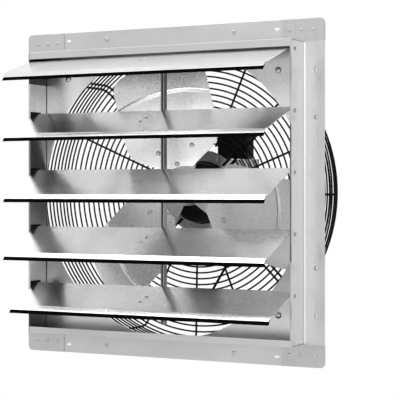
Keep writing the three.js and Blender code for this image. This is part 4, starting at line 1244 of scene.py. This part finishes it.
def slab(outline, front, back, edge, keep_off=0.0):
    """An outline drawn out along Y with rounded edges. It keeps off a round motor."""
    turns = (0.0, 0.4, 0.8, 1.2, math.pi / 2.0)
    levels = [(edge * (1.0 - math.sin(a)), front + edge * (1.0 - math.cos(a))) for a in turns]
    levels += [(inset, front + back - y) for inset, y in reversed(levels)]
    points = []
    for inset, y in levels:
        for x, z, nx, nz in outline:
            px, pz = x - nx * inset, z - nz * inset
            reach = math.hypot(px, pz)
            if reach < keep_off:
                px, pz = px * keep_off / reach, pz * keep_off / reach
            points.append(placed(px, y, pz))
    sides = len(outline)
    faces = [tuple(reversed(face)) for face in ring_faces(len(levels), sides, False)]
    faces.append(tuple(range(sides)))
    faces.append(tuple(reversed([(len(levels) - 1) * sides + j for j in range(sides)])))
    return points, faces


# %% Press the box and its lid
BOX_LEFT, BOX_LOW = 26.94, 60.28
BOX_RIGHT, BOX_HIGH = BOX_LEFT + 60.0, BOX_LOW + 68.0
BOX_FRONT, BOX_BACK = 141.5, 171.5
BOX_CORNER = 5.0
BOX_EDGE = 1.6
LID_EDGE = 0.7
LID_INSET = 3.0
LID_FRONT, LID_BACK = 171.8, 173.8
MOTOR_REACH = 71.2
box_outline = rounded_outline(BOX_LEFT, BOX_RIGHT, BOX_LOW, BOX_HIGH, BOX_CORNER)
box = piece_from(
    "pressed_wiring_box", [slab(box_outline, BOX_FRONT, BOX_BACK, BOX_EDGE, MOTOR_REACH)],
    motor_paint, "housing", 35.0)
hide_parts("wiring_box")
lid_outline = rounded_outline(
    BOX_LEFT + LID_INSET, BOX_RIGHT - LID_INSET, BOX_LOW + LID_INSET, BOX_HIGH - LID_INSET,
    BOX_CORNER)
lid = piece_from(
    "wiring_lid", [slab(lid_outline, LID_FRONT, LID_BACK, LID_EDGE)],
    motor_paint, "housing", 35.0)
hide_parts("wiring_box_lid")
print("box corners:", (BOX_LEFT, BOX_LOW), (BOX_RIGHT, BOX_HIGH))

# %% Fit the lid screws
SCREW_INSET = 9.5
lid_screws = []
for x in (BOX_LEFT + SCREW_INSET, BOX_RIGHT - SCREW_INSET):
    for z in (BOX_LOW + SCREW_INSET, BOX_HIGH - SCREW_INSET):
        lid_screws.append(rivet(placed(x, LID_BACK, z), (0, 1, 0), 3.4 * MM, 1.6 * MM))
piece_from("lid_screws", lid_screws, plating, "housing")
print("lid screws:", len(lid_screws))

# %% Turn the gland
THREADS = 6
GLAND_SIDES = 40
gland_place = placed(BOX_RIGHT - 13.0, (BOX_FRONT + BOX_BACK) / 2.0, BOX_LOW - 0.3)
gland_axis = facing(gland_place, (0, 0, -1))
gland_profile = [(0.0042, 0.0), (0.0086, 0.0)]
for i in range(THREADS):
    y = 0.0055 + 0.0014 * i
    gland_profile += [(0.0080, y), (0.0085, y + 0.0007)]
gland_profile += [(0.0085, 0.0150), (0.0078, 0.0160), (0.0046, 0.0160), (0.0042, 0.0154)]
gland_points, gland_faces = lathe(gland_profile, GLAND_SIDES, gland_axis)
# The profile doesn't reach the axis, so the bore is closed from its last ring to its first.
last = (len(gland_profile) - 1) * GLAND_SIDES
for j in range(GLAND_SIDES):
    k = (j + 1) % GLAND_SIDES
    gland_faces.append((last + j, last + k, k, j))
gland_nut = hexagon(0.0110, 0.0, 0.0050, gland_axis)
gland = piece_from(
    "threaded_gland", [(gland_points, gland_faces), gland_nut],
    nylon, "housing", 35.0)
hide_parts("cable_gland")
print("gland threads:", THREADS)
